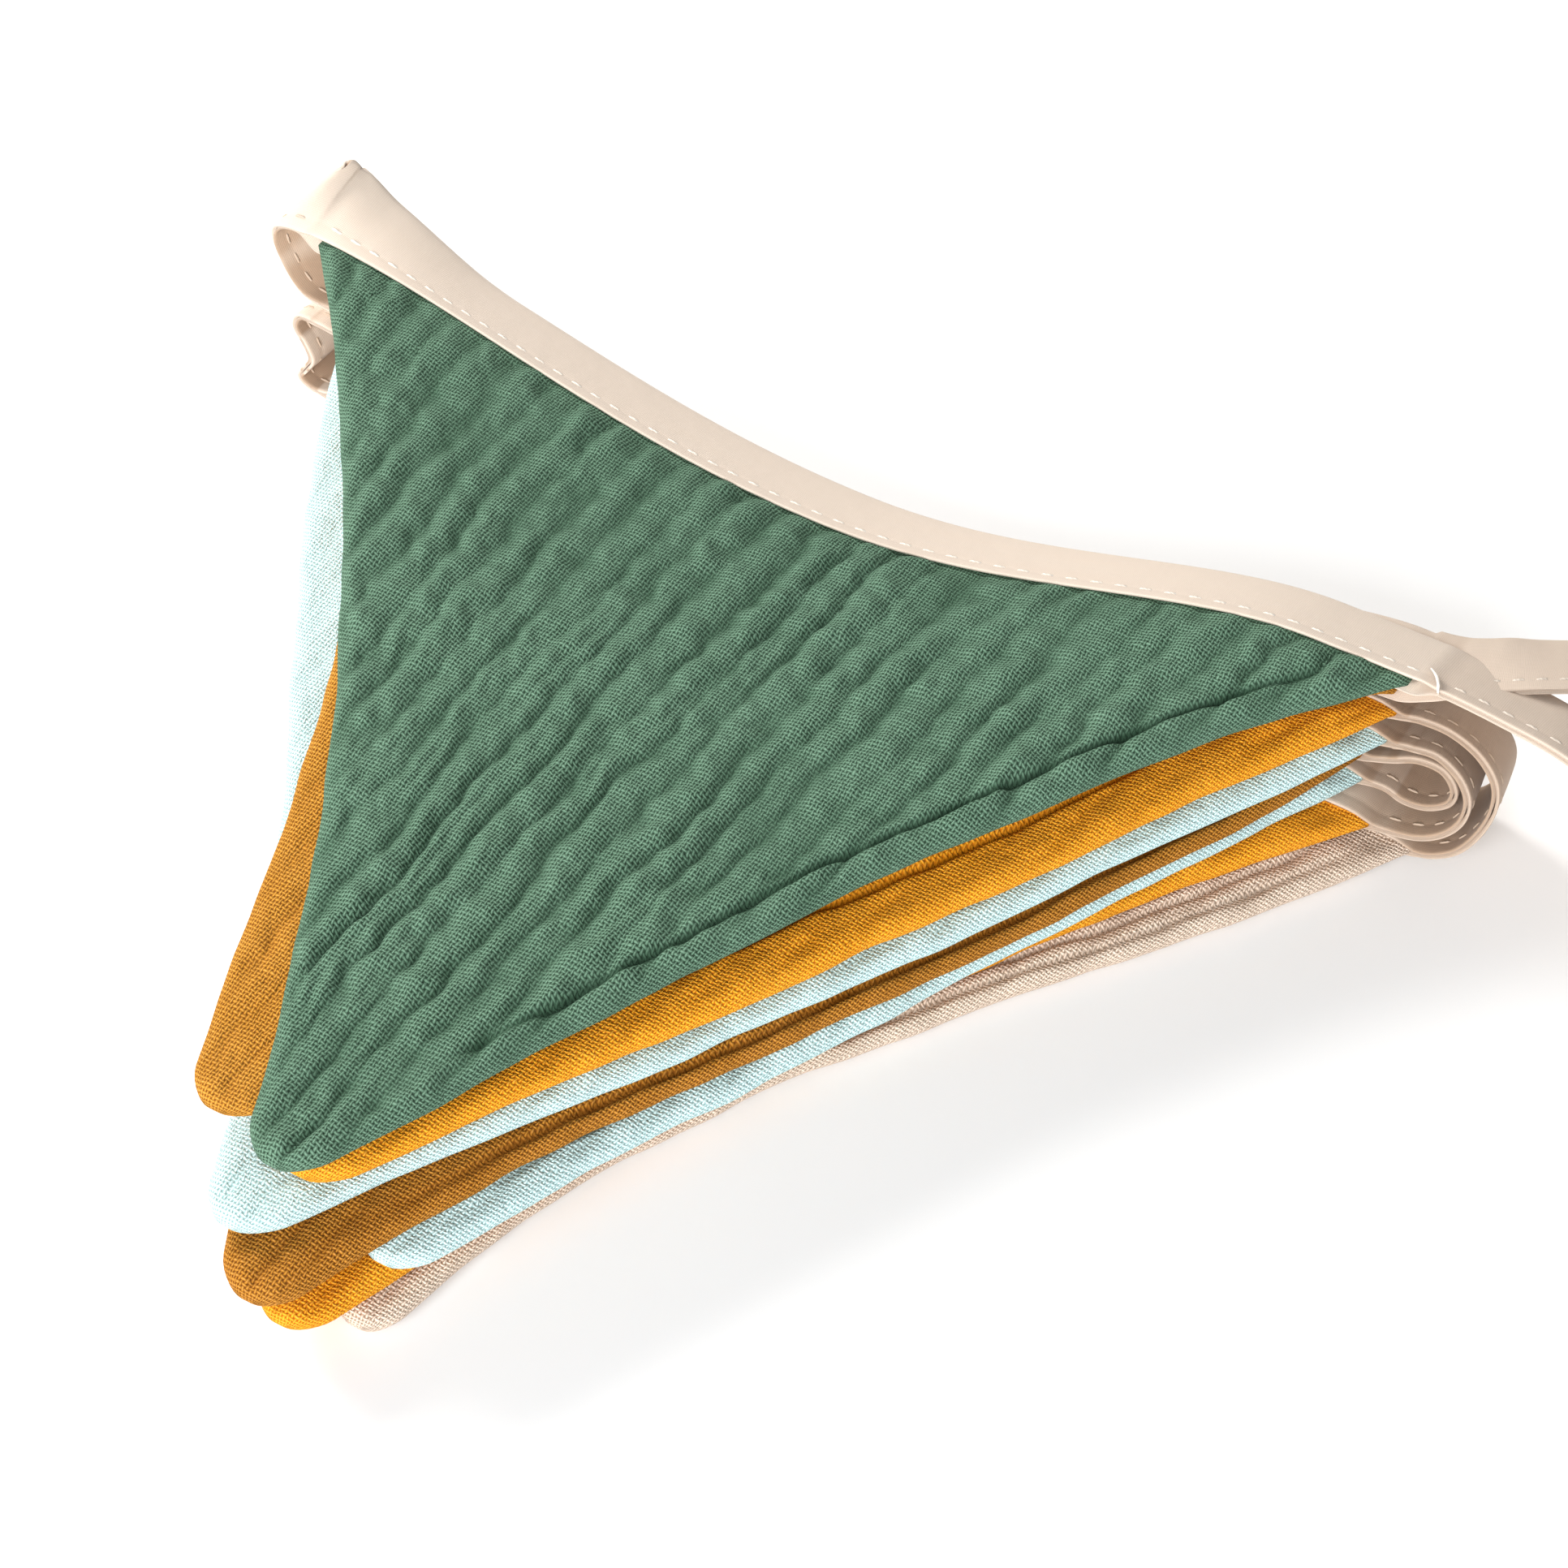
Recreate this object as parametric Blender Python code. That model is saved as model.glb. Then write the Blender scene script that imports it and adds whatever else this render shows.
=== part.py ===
"""Fabric bunting folded into a stack for storage.

Eight crinkled gauze flags, each a turned and pressed triangle, are bound along their top edges by
one long folded tape. The tape zigzags, so that the flags lie on top of each other: it turns back
in loops beyond both ends of the stack, and its two free ends leave the right end and come down
to the surface.

+X runs along the tape towards its free ends, -Y points to the tips of the flags, +Z is up. The
origin lies on the surface under the middle of the lowest flag's triangle.
"""
import bpy
import numpy as np

MM = 0.001

# Flags: depth of the finished triangle, and how thick a stack they make
FLAG_DEPTH = 120 * MM
LAYERS = 8
BODY_HEIGHT = 28 * MM
LAYER_GAP = 0.5 * MM
RIM_RADIUS = 1.6 * MM
TIP_WIDTH = 7.0 * MM
TIP_LENGTH = 3.4 * MM
TIP_ROUNDING = 0.91
HEADING_Y = FLAG_DEPTH / 3

# How far the boundaries between the layers wander over the flags, as a share of the stack, and
# where that fades out before the tape
LAYER_WANDER = 0.009
WANDER_LENGTH_X = 15 * MM
WANDER_LENGTH_Y = 19 * MM
WANDER_FROM = -8 * MM
WANDER_FULL = -30 * MM

# The line on which the flags' top edges leave the tape: it sags towards the tips and dips
END_HEIGHT = 28.6 * MM
HEADING_DIP = 5.7 * MM
HEADING_SAG = 7.5 * MM
SAG_CENTRE = 3 * MM
SAG_SPAN_LEFT = 84 * MM
SAG_SPAN_RIGHT = 60 * MM
DIP_FADE = 25 * MM

# The back of the stack falls away under the tape, and turns up at the left end
BACK_SLOPE = 0.42
LEFT_END_SLOPE = -0.02
LEFT_FLARE_FROM = -50 * MM
LEFT_FLARE_TO = -84 * MM

# Tape: finished width, its two leaves and the pocket between them that holds a flag's edge
TAPE_WIDTH = 12 * MM
LEAF = 0.4 * MM
POCKET_DEPTH = 7.4 * MM
CLEAR = 0.3 * MM
TAPE_GAP = 0.45 * MM
LOOP_HALF_THICKNESS = 0.75 * MM
HEADING_IN_TAPE = 6.6 * MM
PINCH_LENGTH = 9 * MM
PINCH_START = 3 * MM
CORNER_REACH = 0.4 * MM
POCKET_CLOSE = 2.2 * MM
SEAT_DEPTH = POCKET_DEPTH + 0.9 * MM
TAPE_SHOULDER = 0.93

# Crinkles of the top flag
CRINKLE_PITCH = 9.5 * MM
CRINKLE_HEIGHT = 0.55 * MM
CRINKLE_LEAN = np.radians(3)

# One row a flag, from the top of the stack down: the ends and tip of its triangle in mm, how far
# each side bows out (+) or in (-) a quarter and three quarters of the way to the tip, its colour
FLAG_COLUMNS = ("name", "left_x", "left_set", "right_x", "right_set", "tip_x", "tip_drop",
                "left_bow_high", "left_bow_low", "right_bow_high", "right_bow_low", "colour")
FLAG_ROWS = (
    ("flag_1_green", -75.3, 0.0, 75.3, -0.5, -0.3, 119.0, -5.3, -5.0, -5.3, -3.1,
     (0.118, 0.262, 0.170)),
    ("flag_2_caramel", -74.8, -0.5, 73.5, 1.0, -11.3, 114.3, -7.5, -5.6, -5.6, -1.8,
     (0.440, 0.190, 0.022)),
    ("flag_3_yellow", -74.0, 0.0, 74.1, 1.0, -0.5, 115.0, -5.0, -4.2, -0.2, -0.3,
     (0.760, 0.340, 0.012)),
    ("flag_4_aqua", -75.0, 0.0, 74.0, -0.6, -4.9, 122.3, -0.8, -3.4, 0.3, 0.2,
     (0.590, 0.790, 0.800)),
    ("flag_5_ochre", -74.6, -0.5, 71.5, -1.0, 0.5, 127.1, -1.5, -1.5, 1.0, -2.2,
     (0.390, 0.170, 0.020)),
    ("flag_6_aqua", -73.0, -1.0, 72.2, -1.4, 8.7, 114.6, -1.5, -1.5, -0.9, -1.5,
     (0.590, 0.790, 0.800)),
    ("flag_7_yellow", -73.0, -2.0, 74.9, -4.5, 2.1, 124.7, -2.3, -2.3, -4.5, -4.1,
     (0.760, 0.340, 0.012)),
    ("flag_8_sand", -75.6, -2.0, 80.0, -2.9, 7.8, 119.2, -2.3, -2.3, -3.3, -7.8,
     (0.640, 0.500, 0.390)),
)
TAPE_COLOUR = (0.720, 0.600, 0.490)

# One row a loop: the flags that it joins, how much it narrows towards its far edge in reach and
# in height, and the points (x, z in mm) that its near edge passes between the two flags
LOOP_COLUMNS = ("upper", "lower", "far_reach", "cone", "points")
LOOP_ROWS = (
    (1, 4, 0.55, -0.14, ((-78.7, 27.7), (-81.7, 26.9), (-82.5, 24.7), (-81.7, 21.6),
                         (-80.0, 18.3), (-77.7, 16.6))),
    (2, 3, 0.50, 0.00, ((-77.0, 23.2), (-78.1, 21.5), (-77.0, 19.75))),
    (5, 8, 0.80, 0.00, ((-76.9, 13.2), (-79.3, 13.3), (-80.1, 11.4), (-78.7, 8.9), (-77.9, 6.6),
                        (-79.0, 4.6), (-79.9, 3.0), (-78.4, 1.9))),
    (6, 7, 0.90, 0.00, ((-74.8, 8.9), (-75.8, 7.15), (-74.8, 5.4))),
    (3, 8, 0.84, 0.12, ((77.4, 20.5), (81.2, 20.9), (85.0, 19.5), (87.6, 16.5), (88.2, 12.6),
                        (87.3, 8.2), (85.4, 4.3), (82.9, 2.3))),
    (4, 7, 0.84, 0.10, ((77.2, 17.2), (80.6, 18.1), (83.7, 16.6), (85.4, 13.8), (85.2, 10.4),
                        (83.3, 7.5), (80.2, 5.8))),
    (5, 6, 0.84, 0.08, ((75.0, 13.8), (78.2, 15.6), (81.4, 15.6), (83.2, 13.3), (82.9, 10.6),
                        (80.4, 8.5), (77.6, 8.1), (75.2, 9.0))),
)

# The free ends, from a flag's right corner on: where the fall across them fades to level, and
# points of the near edge (x, drift in y, z in mm)
TAIL_COLUMNS = ("flag", "level_from", "level_to", "points")
TAIL_ROWS = (
    (1, 4, 36, ((79.0, -0.2, 27.6), (86.7, -0.6, 27.2), (95.0, -1.4, 26.4), (103.5, -2.4, 23.2),
                (111.0, -3.6, 16.8), (117.5, -5.0, 9.6), (124.0, -6.6, 4.2), (132.0, -8.6, 1.5),
                (142.0, -11.0, 0.8), (152.0, -13.0, 0.8))),
    (2, 14, 44, ((80.0, 1.6, 22.4), (84.5, 5.6, 21.0), (89.5, 11.2, 20.1), (97.0, 17.4, 18.2),
                 (104.5, 22.0, 14.2), (111.0, 26.0, 8.4), (117.5, 30.0, 3.6), (125.0, 34.4, 1.2),
                 (133.0, 39.0, 0.8), (141.0, 43.0, 0.8))),
)
TAIL_TURN_RUN = 22 * MM

# The flags in the order in which the tape passes them, from the upper free end on
TAPE_ORDER = (1, 4, 7, 6, 5, 8, 3, 2)

# Mesh density: columns and rows of each flag, and steps between two points of a curve
TOP_FLAG_GRID = (36, 10)
FLAG_GRID = (14, 6)
SPLINE_STEPS = 2


def rows_as_records(columns, rows):
    """Each row of a table as a dictionary with the table's column names."""
    return [dict(zip(columns, row)) for row in rows]


FLAGS = rows_as_records(FLAG_COLUMNS, FLAG_ROWS)
LOOPS = rows_as_records(LOOP_COLUMNS, LOOP_ROWS)
TAILS = rows_as_records(TAIL_COLUMNS, TAIL_ROWS)


def smooth(start, end, value):
    """Smooth step from 0 at start to 1 at end."""
    u = np.clip((value - start) / (end - start), 0, 1)
    return u * u * (3 - 2 * u)


def sag(x):
    """Share of the heading's sag and dip at x: (1 - u^2)^2, longer on the left than the right."""
    span = np.where(x < SAG_CENTRE, SAG_SPAN_LEFT, SAG_SPAN_RIGHT)
    u = np.clip((x - SAG_CENTRE) / span, -1, 1)
    return (1 - u * u) ** 2


def stack_height(x, y):
    """Height of the whole stack over a point: level over the flags, falling away under the tape."""
    beyond = y - (HEADING_Y - HEADING_SAG * sag(x))
    edge = END_HEIGHT - HEADING_DIP * sag(x)
    slope = BACK_SLOPE + (LEFT_END_SLOPE - BACK_SLOPE) * smooth(LEFT_FLARE_FROM, LEFT_FLARE_TO, x)
    over_flags = BODY_HEIGHT + (edge - BODY_HEIGHT) * np.exp(np.minimum(beyond, 0) / DIP_FADE)
    return over_flags - slope * np.maximum(beyond, 0)


def layer_share(level, x, y):
    """Height of the boundary above a number of layers, as a share of the stack: it wanders a
    little over the flags, and not at all under the tape."""
    if level in (0, LAYERS):
        return np.full_like(x, level / LAYERS)
    beyond = y - (HEADING_Y - HEADING_SAG * sag(x))
    over_flags = 1 - smooth(WANDER_FULL, WANDER_FROM, beyond)
    wave = (np.sin(x / (WANDER_LENGTH_X + level * MM) + 1.7 * level)
            * np.cos(y / WANDER_LENGTH_Y - 2.3 * level))
    return level / LAYERS + LAYER_WANDER * wave * over_flags


def flag_corners(flag):
    """Left end and right end of the flag's top edge, and its tip, in metres."""
    left = np.array([flag["left_x"] * MM, HEADING_Y + flag["left_set"] * MM])
    right = np.array([flag["right_x"] * MM, HEADING_Y + flag["right_set"] * MM])
    tip = np.array([flag["tip_x"] * MM, HEADING_Y - flag["tip_drop"] * MM])
    return left, right, tip


def side_bow(down, high, low):
    """Cubic through 0 at both ends of a side, high at a quarter and low at three quarters."""
    ends = down * (1 - down) / (0.25 * 0.75 * 0.5)
    return ends * ((0.75 - down) * high + (down - 0.25) * low) * MM


def flag_grid(number):
    """Columns and rows of a flag's grid."""
    return TOP_FLAG_GRID if number == 1 else FLAG_GRID


def column_shares(number):
    """Places of a flag's columns across it, closer together at the left end, where it flares."""
    step = np.linspace(0, 1, flag_grid(number)[0] + 1)
    return 0.55 * step + 0.45 * step ** 2


def edge_y(flag, x):
    """y of the tape's near edge on this flag."""
    left, right, _ = flag_corners(flag)
    along = (x - left[0]) / (right[0] - left[0])
    return left[1] + (right[1] - left[1]) * along - HEADING_SAG * sag(x)


def crinkle(x, y):
    """Height of the gauze's crinkles from -1 to 1: leaning, wandering ridges."""
    across = x * np.cos(CRINKLE_LEAN) - y * np.sin(CRINKLE_LEAN)
    wander = 1.5 * MM * np.sin(y / (7 * MM) + x / (21 * MM)) + 1.1 * MM * np.sin(y / (4.3 * MM) + 2)
    swell = 0.65 + 0.35 * np.sin(y / (11 * MM) - x / (17 * MM))
    return swell * np.sin(2 * np.pi * (across + wander) / CRINKLE_PITCH)


def flag_faces(number, flag):
    """Upper and lower face of one flag as two grids of points that share their border.

    Rows run from inside the tape to the tip, columns from the left side to the right. Each point
    stands half the layer's thickness above or below the layer's middle, less at the rounded rim
    and where the tape pinches the flag."""
    rows = flag_grid(number)[1]
    left, right, tip = flag_corners(flag)
    depth = HEADING_Y - tip[1]
    drop = np.concatenate([
        np.array([-HEADING_IN_TAPE, CLEAR - HEADING_IN_TAPE, -HEADING_IN_TAPE / 2, 0, PINCH_START]),
        np.linspace(PINCH_LENGTH, depth - TIP_LENGTH, rows),
        depth - TIP_LENGTH * np.array([0.5, 0.12, 0])])
    down = np.clip(drop / depth, 0, 1)[:, None]
    tip_half = np.array([TIP_WIDTH / 2, 0])
    left_bow = side_bow(down, flag["left_bow_high"], flag["left_bow_low"])
    right_bow = side_bow(down, flag["right_bow_high"], flag["right_bow_low"])
    left_out = np.array([-depth, left[0] - tip[0]]) / np.hypot(depth, left[0] - tip[0])
    right_out = np.array([depth, tip[0] - right[0]]) / np.hypot(depth, tip[0] - right[0])
    left_side = left + (tip - tip_half - left) * down + left_out * left_bow
    right_side = right + (tip + tip_half - right) * down + right_out * right_bow
    past = np.clip((drop - depth + TIP_LENGTH) / TIP_LENGTH, 0, 1)[:, None]
    middle = (left_side + right_side) / 2
    rounding = np.sqrt(1 - TIP_ROUNDING * past ** 2)
    left_side = middle + (left_side - middle) * rounding
    right_side = middle + (right_side - middle) * rounding

    width = (right_side - left_side)[:, 0]
    rim = np.minimum(RIM_RADIUS, width / 4)
    near_rim = rim[:, None] * np.array([0, 0.3])
    inner = rim[:, None] + (width - 2 * rim)[:, None] * column_shares(number)
    from_left = np.hstack([near_rim, inner, width[:, None] - near_rim[:, ::-1]])
    across = from_left / width[:, None]
    x = left_side[:, :1] + (right_side - left_side)[:, :1] * across
    y = left_side[:, 1:] + (right_side - left_side)[:, 1:] * across
    y = y - HEADING_SAG * sag(x) * (1 - down) ** 2 - np.minimum(drop, 0)[:, None]

    to_side = np.minimum(from_left, width[:, None] - from_left) / rim[:, None]
    to_end = np.minimum(drop + HEADING_IN_TAPE, 2.5 * (depth - drop))[:, None] / RIM_RADIUS
    roundness = np.sqrt(1 - (1 - np.clip(to_side, 0, 1)) ** 2)
    roundness = roundness * np.sqrt(1 - (1 - np.clip(to_end * 3, 0, 1)) ** 2)

    height = stack_height(x, y)
    top = height * layer_share(LAYERS + 1 - number, x, y)
    bottom = height * layer_share(LAYERS - number, x, y)
    mid = (top + bottom) / 2
    in_tape = height / (2 * LAYERS) - TAPE_GAP / 2 - LEAF - CLEAR
    full = smooth(0, PINCH_LENGTH, drop)[:, None]
    above = in_tape + ((top - bottom - LAYER_GAP) / 2 - in_tape) * full
    below = above
    if number == LAYERS:
        below = in_tape + (mid - in_tape) * full
    if number == 1:
        open_cloth = full * np.clip(to_side - 1, 0, 1) * np.clip(to_end - 1, 0, 1)
        above = above + CRINKLE_HEIGHT * crinkle(x, y) * open_cloth
    upper = np.stack([x, y, mid + above * roundness], axis=2)
    lower = np.stack([x, y, mid - below * roundness], axis=2)
    return upper, lower


def closed_pillow(upper, lower):
    """Vertices and triangles of a closed body between two point grids that share their border.

    Each cell is cut along the diagonal that runs to the nearest corner of the grid, so that no
    cut at a corner joins two border points."""
    rows, columns = upper.shape[:2]
    index = np.arange(rows * columns).reshape(rows, columns)
    inside = np.zeros((rows, columns), bool)
    inside[1:-1, 1:-1] = True
    lower_index = index.copy()
    lower_index[inside] = rows * columns + np.arange(inside.sum())
    vertices = np.vstack([upper.reshape(-1, 3), lower[inside]])

    row, column = np.indices((rows - 1, columns - 1))
    falling = ((row < rows / 2) == (column < columns / 2))[..., None]

    def triangles(grid, turned):
        a, b, c, d = grid[:-1, :-1], grid[1:, :-1], grid[1:, 1:], grid[:-1, 1:]
        first = np.where(falling, np.stack([a, b, c], axis=2), np.stack([a, b, d], axis=2))
        second = np.where(falling, np.stack([a, c, d], axis=2), np.stack([b, c, d], axis=2))
        both = np.vstack([first.reshape(-1, 3), second.reshape(-1, 3)])
        return both[:, ::-1] if turned else both

    return vertices, np.vstack([triangles(index, False), triangles(lower_index, True)])


def spline(points, steps):
    """Points of a Catmull-Rom curve through all but the first and last of the given points."""
    points = np.asarray(points, float)
    a, b, c, d = points[:-3, None], points[1:-2, None], points[2:-1, None], points[3:, None]
    t = (np.arange(steps) / steps)[None, :, None]
    curve = 0.5 * (2 * b + (c - a) * t + (2 * a - 5 * b + 4 * c - d) * t ** 2
                   + (3 * b - a - 3 * c + d) * t ** 3)
    return np.vstack([curve.reshape(-1, points.shape[1]), points[-2]])


def layer_middle(number, x, y):
    """Height of the middle of a flag's layer under the tape."""
    return stack_height(x, y) * (LAYERS + 0.5 - number) / LAYERS


def far_edge(number, near):
    """The far edge of the tape where it lies over a flag: square to x, falling with the stack."""
    rise = layer_middle(number, near[:, 0], near[:, 1] + TAPE_WIDTH) - near[:, 2]
    level = TAPE_WIDTH / np.sqrt(1 + (rise / TAPE_WIDTH) ** 2)
    far = near.copy()
    far[:, 1] += level
    far[:, 2] = layer_middle(number, far[:, 0], far[:, 1])
    return far


def run_edges(number, rightwards):
    """Near and far edge of the tape along one flag, in the direction in which it travels."""
    flag = FLAGS[number - 1]
    left, right, _ = flag_corners(flag)
    width = right[0] - left[0]
    inner = left[0] + RIM_RADIUS + (width - 2 * RIM_RADIUS) * column_shares(number)
    x = np.concatenate([[left[0] - CORNER_REACH], inner, [right[0] + CORNER_REACH]])
    if not rightwards:
        x = x[::-1]
    y = edge_y(flag, x)
    near = np.stack([x, y, layer_middle(number, x, y)], axis=1)
    return near, far_edge(number, near)


def loop_edges(start, end, near_start, near_end, far_start, far_end):
    """Near and far edge of the loop between two flags: the near edge follows the table's points,
    and the far edge is the same curve with less reach and a little lower."""
    row = next(r for r in LOOPS if {r["upper"], r["lower"]} == {start, end})
    points = np.array(row["points"]) * MM
    if start == row["lower"]:
        points = points[::-1]
    outward = np.sign(near_start[0])
    lead = np.array([outward * 3 * MM, 0])
    ends = near_start[[0, 2]], near_end[[0, 2]]
    curve = spline(np.vstack([ends[0] - lead, ends[0], points, ends[1], ends[1] - lead]),
                   SPLINE_STEPS)[1:-1]
    along = (np.arange(len(curve)) + 1)[:, None] / (len(curve) + 1)
    base_near = near_start + (near_end - near_start) * along
    base_far = far_start + (far_end - far_start) * along
    near = np.stack([curve[:, 0], base_near[:, 1], curve[:, 1]], axis=1)
    drop = (far_start[2] / near_start[2]) + (far_end[2] / near_end[2]
                                             - far_start[2] / near_start[2]) * along[:, 0]
    drop = drop * (1 - row["cone"] * np.sin(np.pi * along[:, 0]))
    far = near.copy()
    far[:, 0] = base_far[:, 0] + (near[:, 0] - base_near[:, 0]) * row["far_reach"]
    far[:, 2] = near[:, 2] * drop
    sideways = np.sum((far - near)[:, [0, 2]] ** 2, axis=1)
    far[:, 1] = near[:, 1] + np.sqrt(np.maximum(TAPE_WIDTH ** 2 - sideways, 0))
    return near, far


def tail_edges(row, near_start, far_start):
    """Near and far edge of a free end: it bends sideways and down to the surface, and its tilt
    across fades to level."""
    points = np.array(row["points"]) * MM
    points[:, 1] += near_start[1]
    lead = np.array([4 * MM, 0, 0])
    last = points[-1] + (points[-1] - points[-2])
    near = spline(np.vstack([near_start - lead, near_start, points, last]), SPLINE_STEPS)[1:]
    heading = np.gradient(np.vstack([near_start, near]), axis=0)[1:]
    run = near[:, 0] - near_start[0]
    turn = np.arctan2(heading[:, 1], heading[:, 0]) * smooth(0, TAIL_TURN_RUN, run)
    square = np.stack([-np.sin(turn), np.cos(turn)], axis=1)
    start_fall = near_start[2] - far_start[2]
    fall = start_fall * (1 - smooth(row["level_from"] * MM, row["level_to"] * MM, run))
    level = np.sqrt(TAPE_WIDTH ** 2 - fall ** 2)
    far = near.copy()
    far[:, :2] += square * level[:, None]
    far[:, 2] -= fall
    return near, far


def tape_route():
    """The whole tape from one free end to the other: its near and far edge, and how far its
    pocket stands open at each station."""
    near_parts, far_parts, opens = [], [], []

    def add(near, far, opened):
        near_parts.append(near)
        far_parts.append(far)
        opens.append(np.full(len(near), float(opened)))

    runs = {}
    for step, number in enumerate(TAPE_ORDER):
        runs[number] = run_edges(number, rightwards=step % 2 == 1)
    first, last = TAPE_ORDER[0], TAPE_ORDER[-1]
    near, far = tail_edges(TAILS[0], runs[first][0][0], runs[first][1][0])
    add(near[::-1], far[::-1], 0)
    for number, following in zip(TAPE_ORDER, TAPE_ORDER[1:] + (None,)):
        add(*runs[number], 1)
        if following:
            near, far = loop_edges(number, following, runs[number][0][-1], runs[following][0][0],
                                   runs[number][1][-1], runs[following][1][0])
            add(near, far, 0)
    add(*tail_edges(TAILS[1], runs[last][0][-1], runs[last][1][-1]), 0)

    near, far = np.vstack(near_parts), np.vstack(far_parts)
    opened = np.concatenate(opens)
    travel = np.concatenate([[0], np.cumsum(np.linalg.norm(np.diff(near, axis=0), axis=1))])
    pocketed = travel[opened == 1]
    away = np.min(np.abs(travel[:, None] - pocketed[None, :]), axis=1)
    return near, far, 1 - smooth(0, POCKET_CLOSE, away)


def tape_section():
    """Places round the tape's section: share of the width from the near edge, side (1 above,
    -1 below, 0 between), and whether the place lies on the outside or in the pocket."""
    mouth = POCKET_DEPTH / TAPE_WIDTH
    seat = SEAT_DEPTH / TAPE_WIDTH
    outside = [(0, 1), (0.5, 1), (TAPE_SHOULDER, 1), (1, 0), (TAPE_SHOULDER, -1), (0.5, -1), (0, -1)]
    pocket = [(0, -1), (mouth, -1), (seat, 0), (mouth, 1), (0, 1)]
    share, side = np.array(outside + pocket, float).T
    return share, side, np.arange(len(share)) < len(outside)


def tape_body():
    """Vertices and faces of the tape: its section carried along the route, with flat ends."""
    near, far, opened = tape_route()
    share, side, outer = tape_section()
    point = near[:, None] + (far - near)[:, None] * share[None, :, None]
    along = np.gradient(point, axis=0)
    across = (far - near)[:, None] + np.zeros_like(point)
    square = np.cross(along, across)
    square /= np.linalg.norm(square, axis=2)[:, :, None]
    upright = np.zeros_like(square)
    upright[:, :, 2] = np.sign(square[:, :, 2])
    normal = square + (upright - square) * opened[:, None, None]
    on_layer = stack_height(point[:, :, 0], point[:, :, 1]) / (2 * LAYERS) - TAPE_GAP / 2
    half = LOOP_HALF_THICKNESS + (on_layer - LOOP_HALF_THICKNESS) * opened[:, None]
    leaf = LOOP_HALF_THICKNESS - CLEAR / 2
    leaf = leaf + (LEAF - leaf) * opened[:, None]
    offset = np.where(outer[None, :], half, half - leaf) * side[None, :]
    ring = point + normal * offset[:, :, None]

    stations, places = ring.shape[:2]
    index = np.arange(stations * places).reshape(stations, places)
    turned = np.roll(index, -1, axis=1)
    walls = np.stack([index[:-1], index[1:], turned[1:], turned[:-1]], axis=2).reshape(-1, 4)
    faces = [tuple(int(i) for i in quad) for quad in walls]
    for end, flip in ((index[0], False), (index[-1], True)):
        ends = [int(i) for i in end]
        faces.append(tuple(reversed(ends)) if flip else tuple(ends))
    return ring.reshape(-1, 3), faces


def cloth_material(name, colour):
    """Matt cotton in one colour."""
    material = bpy.data.materials.new(name)
    material.use_nodes = True
    shader = material.node_tree.nodes["Principled BSDF"]
    shader.inputs["Base Color"].default_value = (*colour, 1)
    shader.inputs["Roughness"].default_value = 0.9
    shader.inputs["Metallic"].default_value = 0
    return material


def add_piece(name, vertices, faces, colour):
    """One closed sewn piece as its own object."""
    mesh = bpy.data.meshes.new(name)
    mesh.from_pydata([tuple(v) for v in vertices], [], [tuple(f) for f in faces])
    mesh.validate()
    mesh.shade_smooth()
    piece = bpy.data.objects.new(name, mesh)
    piece.data.materials.append(cloth_material(name + "_cotton", colour))
    bpy.context.scene.collection.objects.link(piece)
    return piece


def build():
    """The flags from the top of the stack down, then the tape."""
    for old in list(bpy.data.objects):
        bpy.data.objects.remove(old, do_unlink=True)
    for number, flag in enumerate(FLAGS, start=1):
        vertices, faces = closed_pillow(*flag_faces(number, flag))
        add_piece(flag["name"], vertices, faces.tolist(), flag["colour"])
    add_piece("tape", *tape_body(), TAPE_COLOUR)


build()
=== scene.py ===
"""Fabric bunting folded into a stack: gauze flags on a folded tape, with its stitches.

Sizes are in metres unless a name or a table says mm. +X runs along the tape towards its free ends,
-Y towards the flags' tips, +Z up. The stack lies on z = 0.
"""

import bmesh
import bpy
import numpy as np
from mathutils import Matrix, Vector


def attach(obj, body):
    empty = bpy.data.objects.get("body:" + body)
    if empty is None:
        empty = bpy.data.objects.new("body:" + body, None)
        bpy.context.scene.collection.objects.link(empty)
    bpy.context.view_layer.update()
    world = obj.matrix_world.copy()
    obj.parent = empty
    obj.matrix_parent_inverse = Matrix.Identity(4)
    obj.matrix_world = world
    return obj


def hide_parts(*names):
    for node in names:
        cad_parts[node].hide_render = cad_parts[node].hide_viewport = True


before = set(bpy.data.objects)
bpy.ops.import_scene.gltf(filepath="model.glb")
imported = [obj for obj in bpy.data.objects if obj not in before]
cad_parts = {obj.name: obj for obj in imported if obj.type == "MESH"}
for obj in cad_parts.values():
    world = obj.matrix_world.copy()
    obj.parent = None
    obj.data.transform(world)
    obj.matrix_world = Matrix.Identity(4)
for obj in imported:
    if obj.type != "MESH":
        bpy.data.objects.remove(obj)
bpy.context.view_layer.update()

# ---------------------------------------------------------------------------------------------
# Flags
#
# Eight triangles of crinkled double gauze. Each is sewn from two pieces, turned right side out
# and pressed, so its edges are puffy and its tip blunt. They lie on each other, top edge over
# top edge, each turned a little against the next.

MM = 0.001
LAYERS = 8
FLAG_DEPTH = 120 * MM
BODY_HEIGHT = 28 * MM
LAYER_GAP = 0.5 * MM
HEADING_Y = FLAG_DEPTH / 3
HEADING_IN_TAPE = 6.6 * MM
TIP_WIDTH = 7.0 * MM
TIP_LENGTH = 3.4 * MM
TIP_ROUNDING = 0.91

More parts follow.
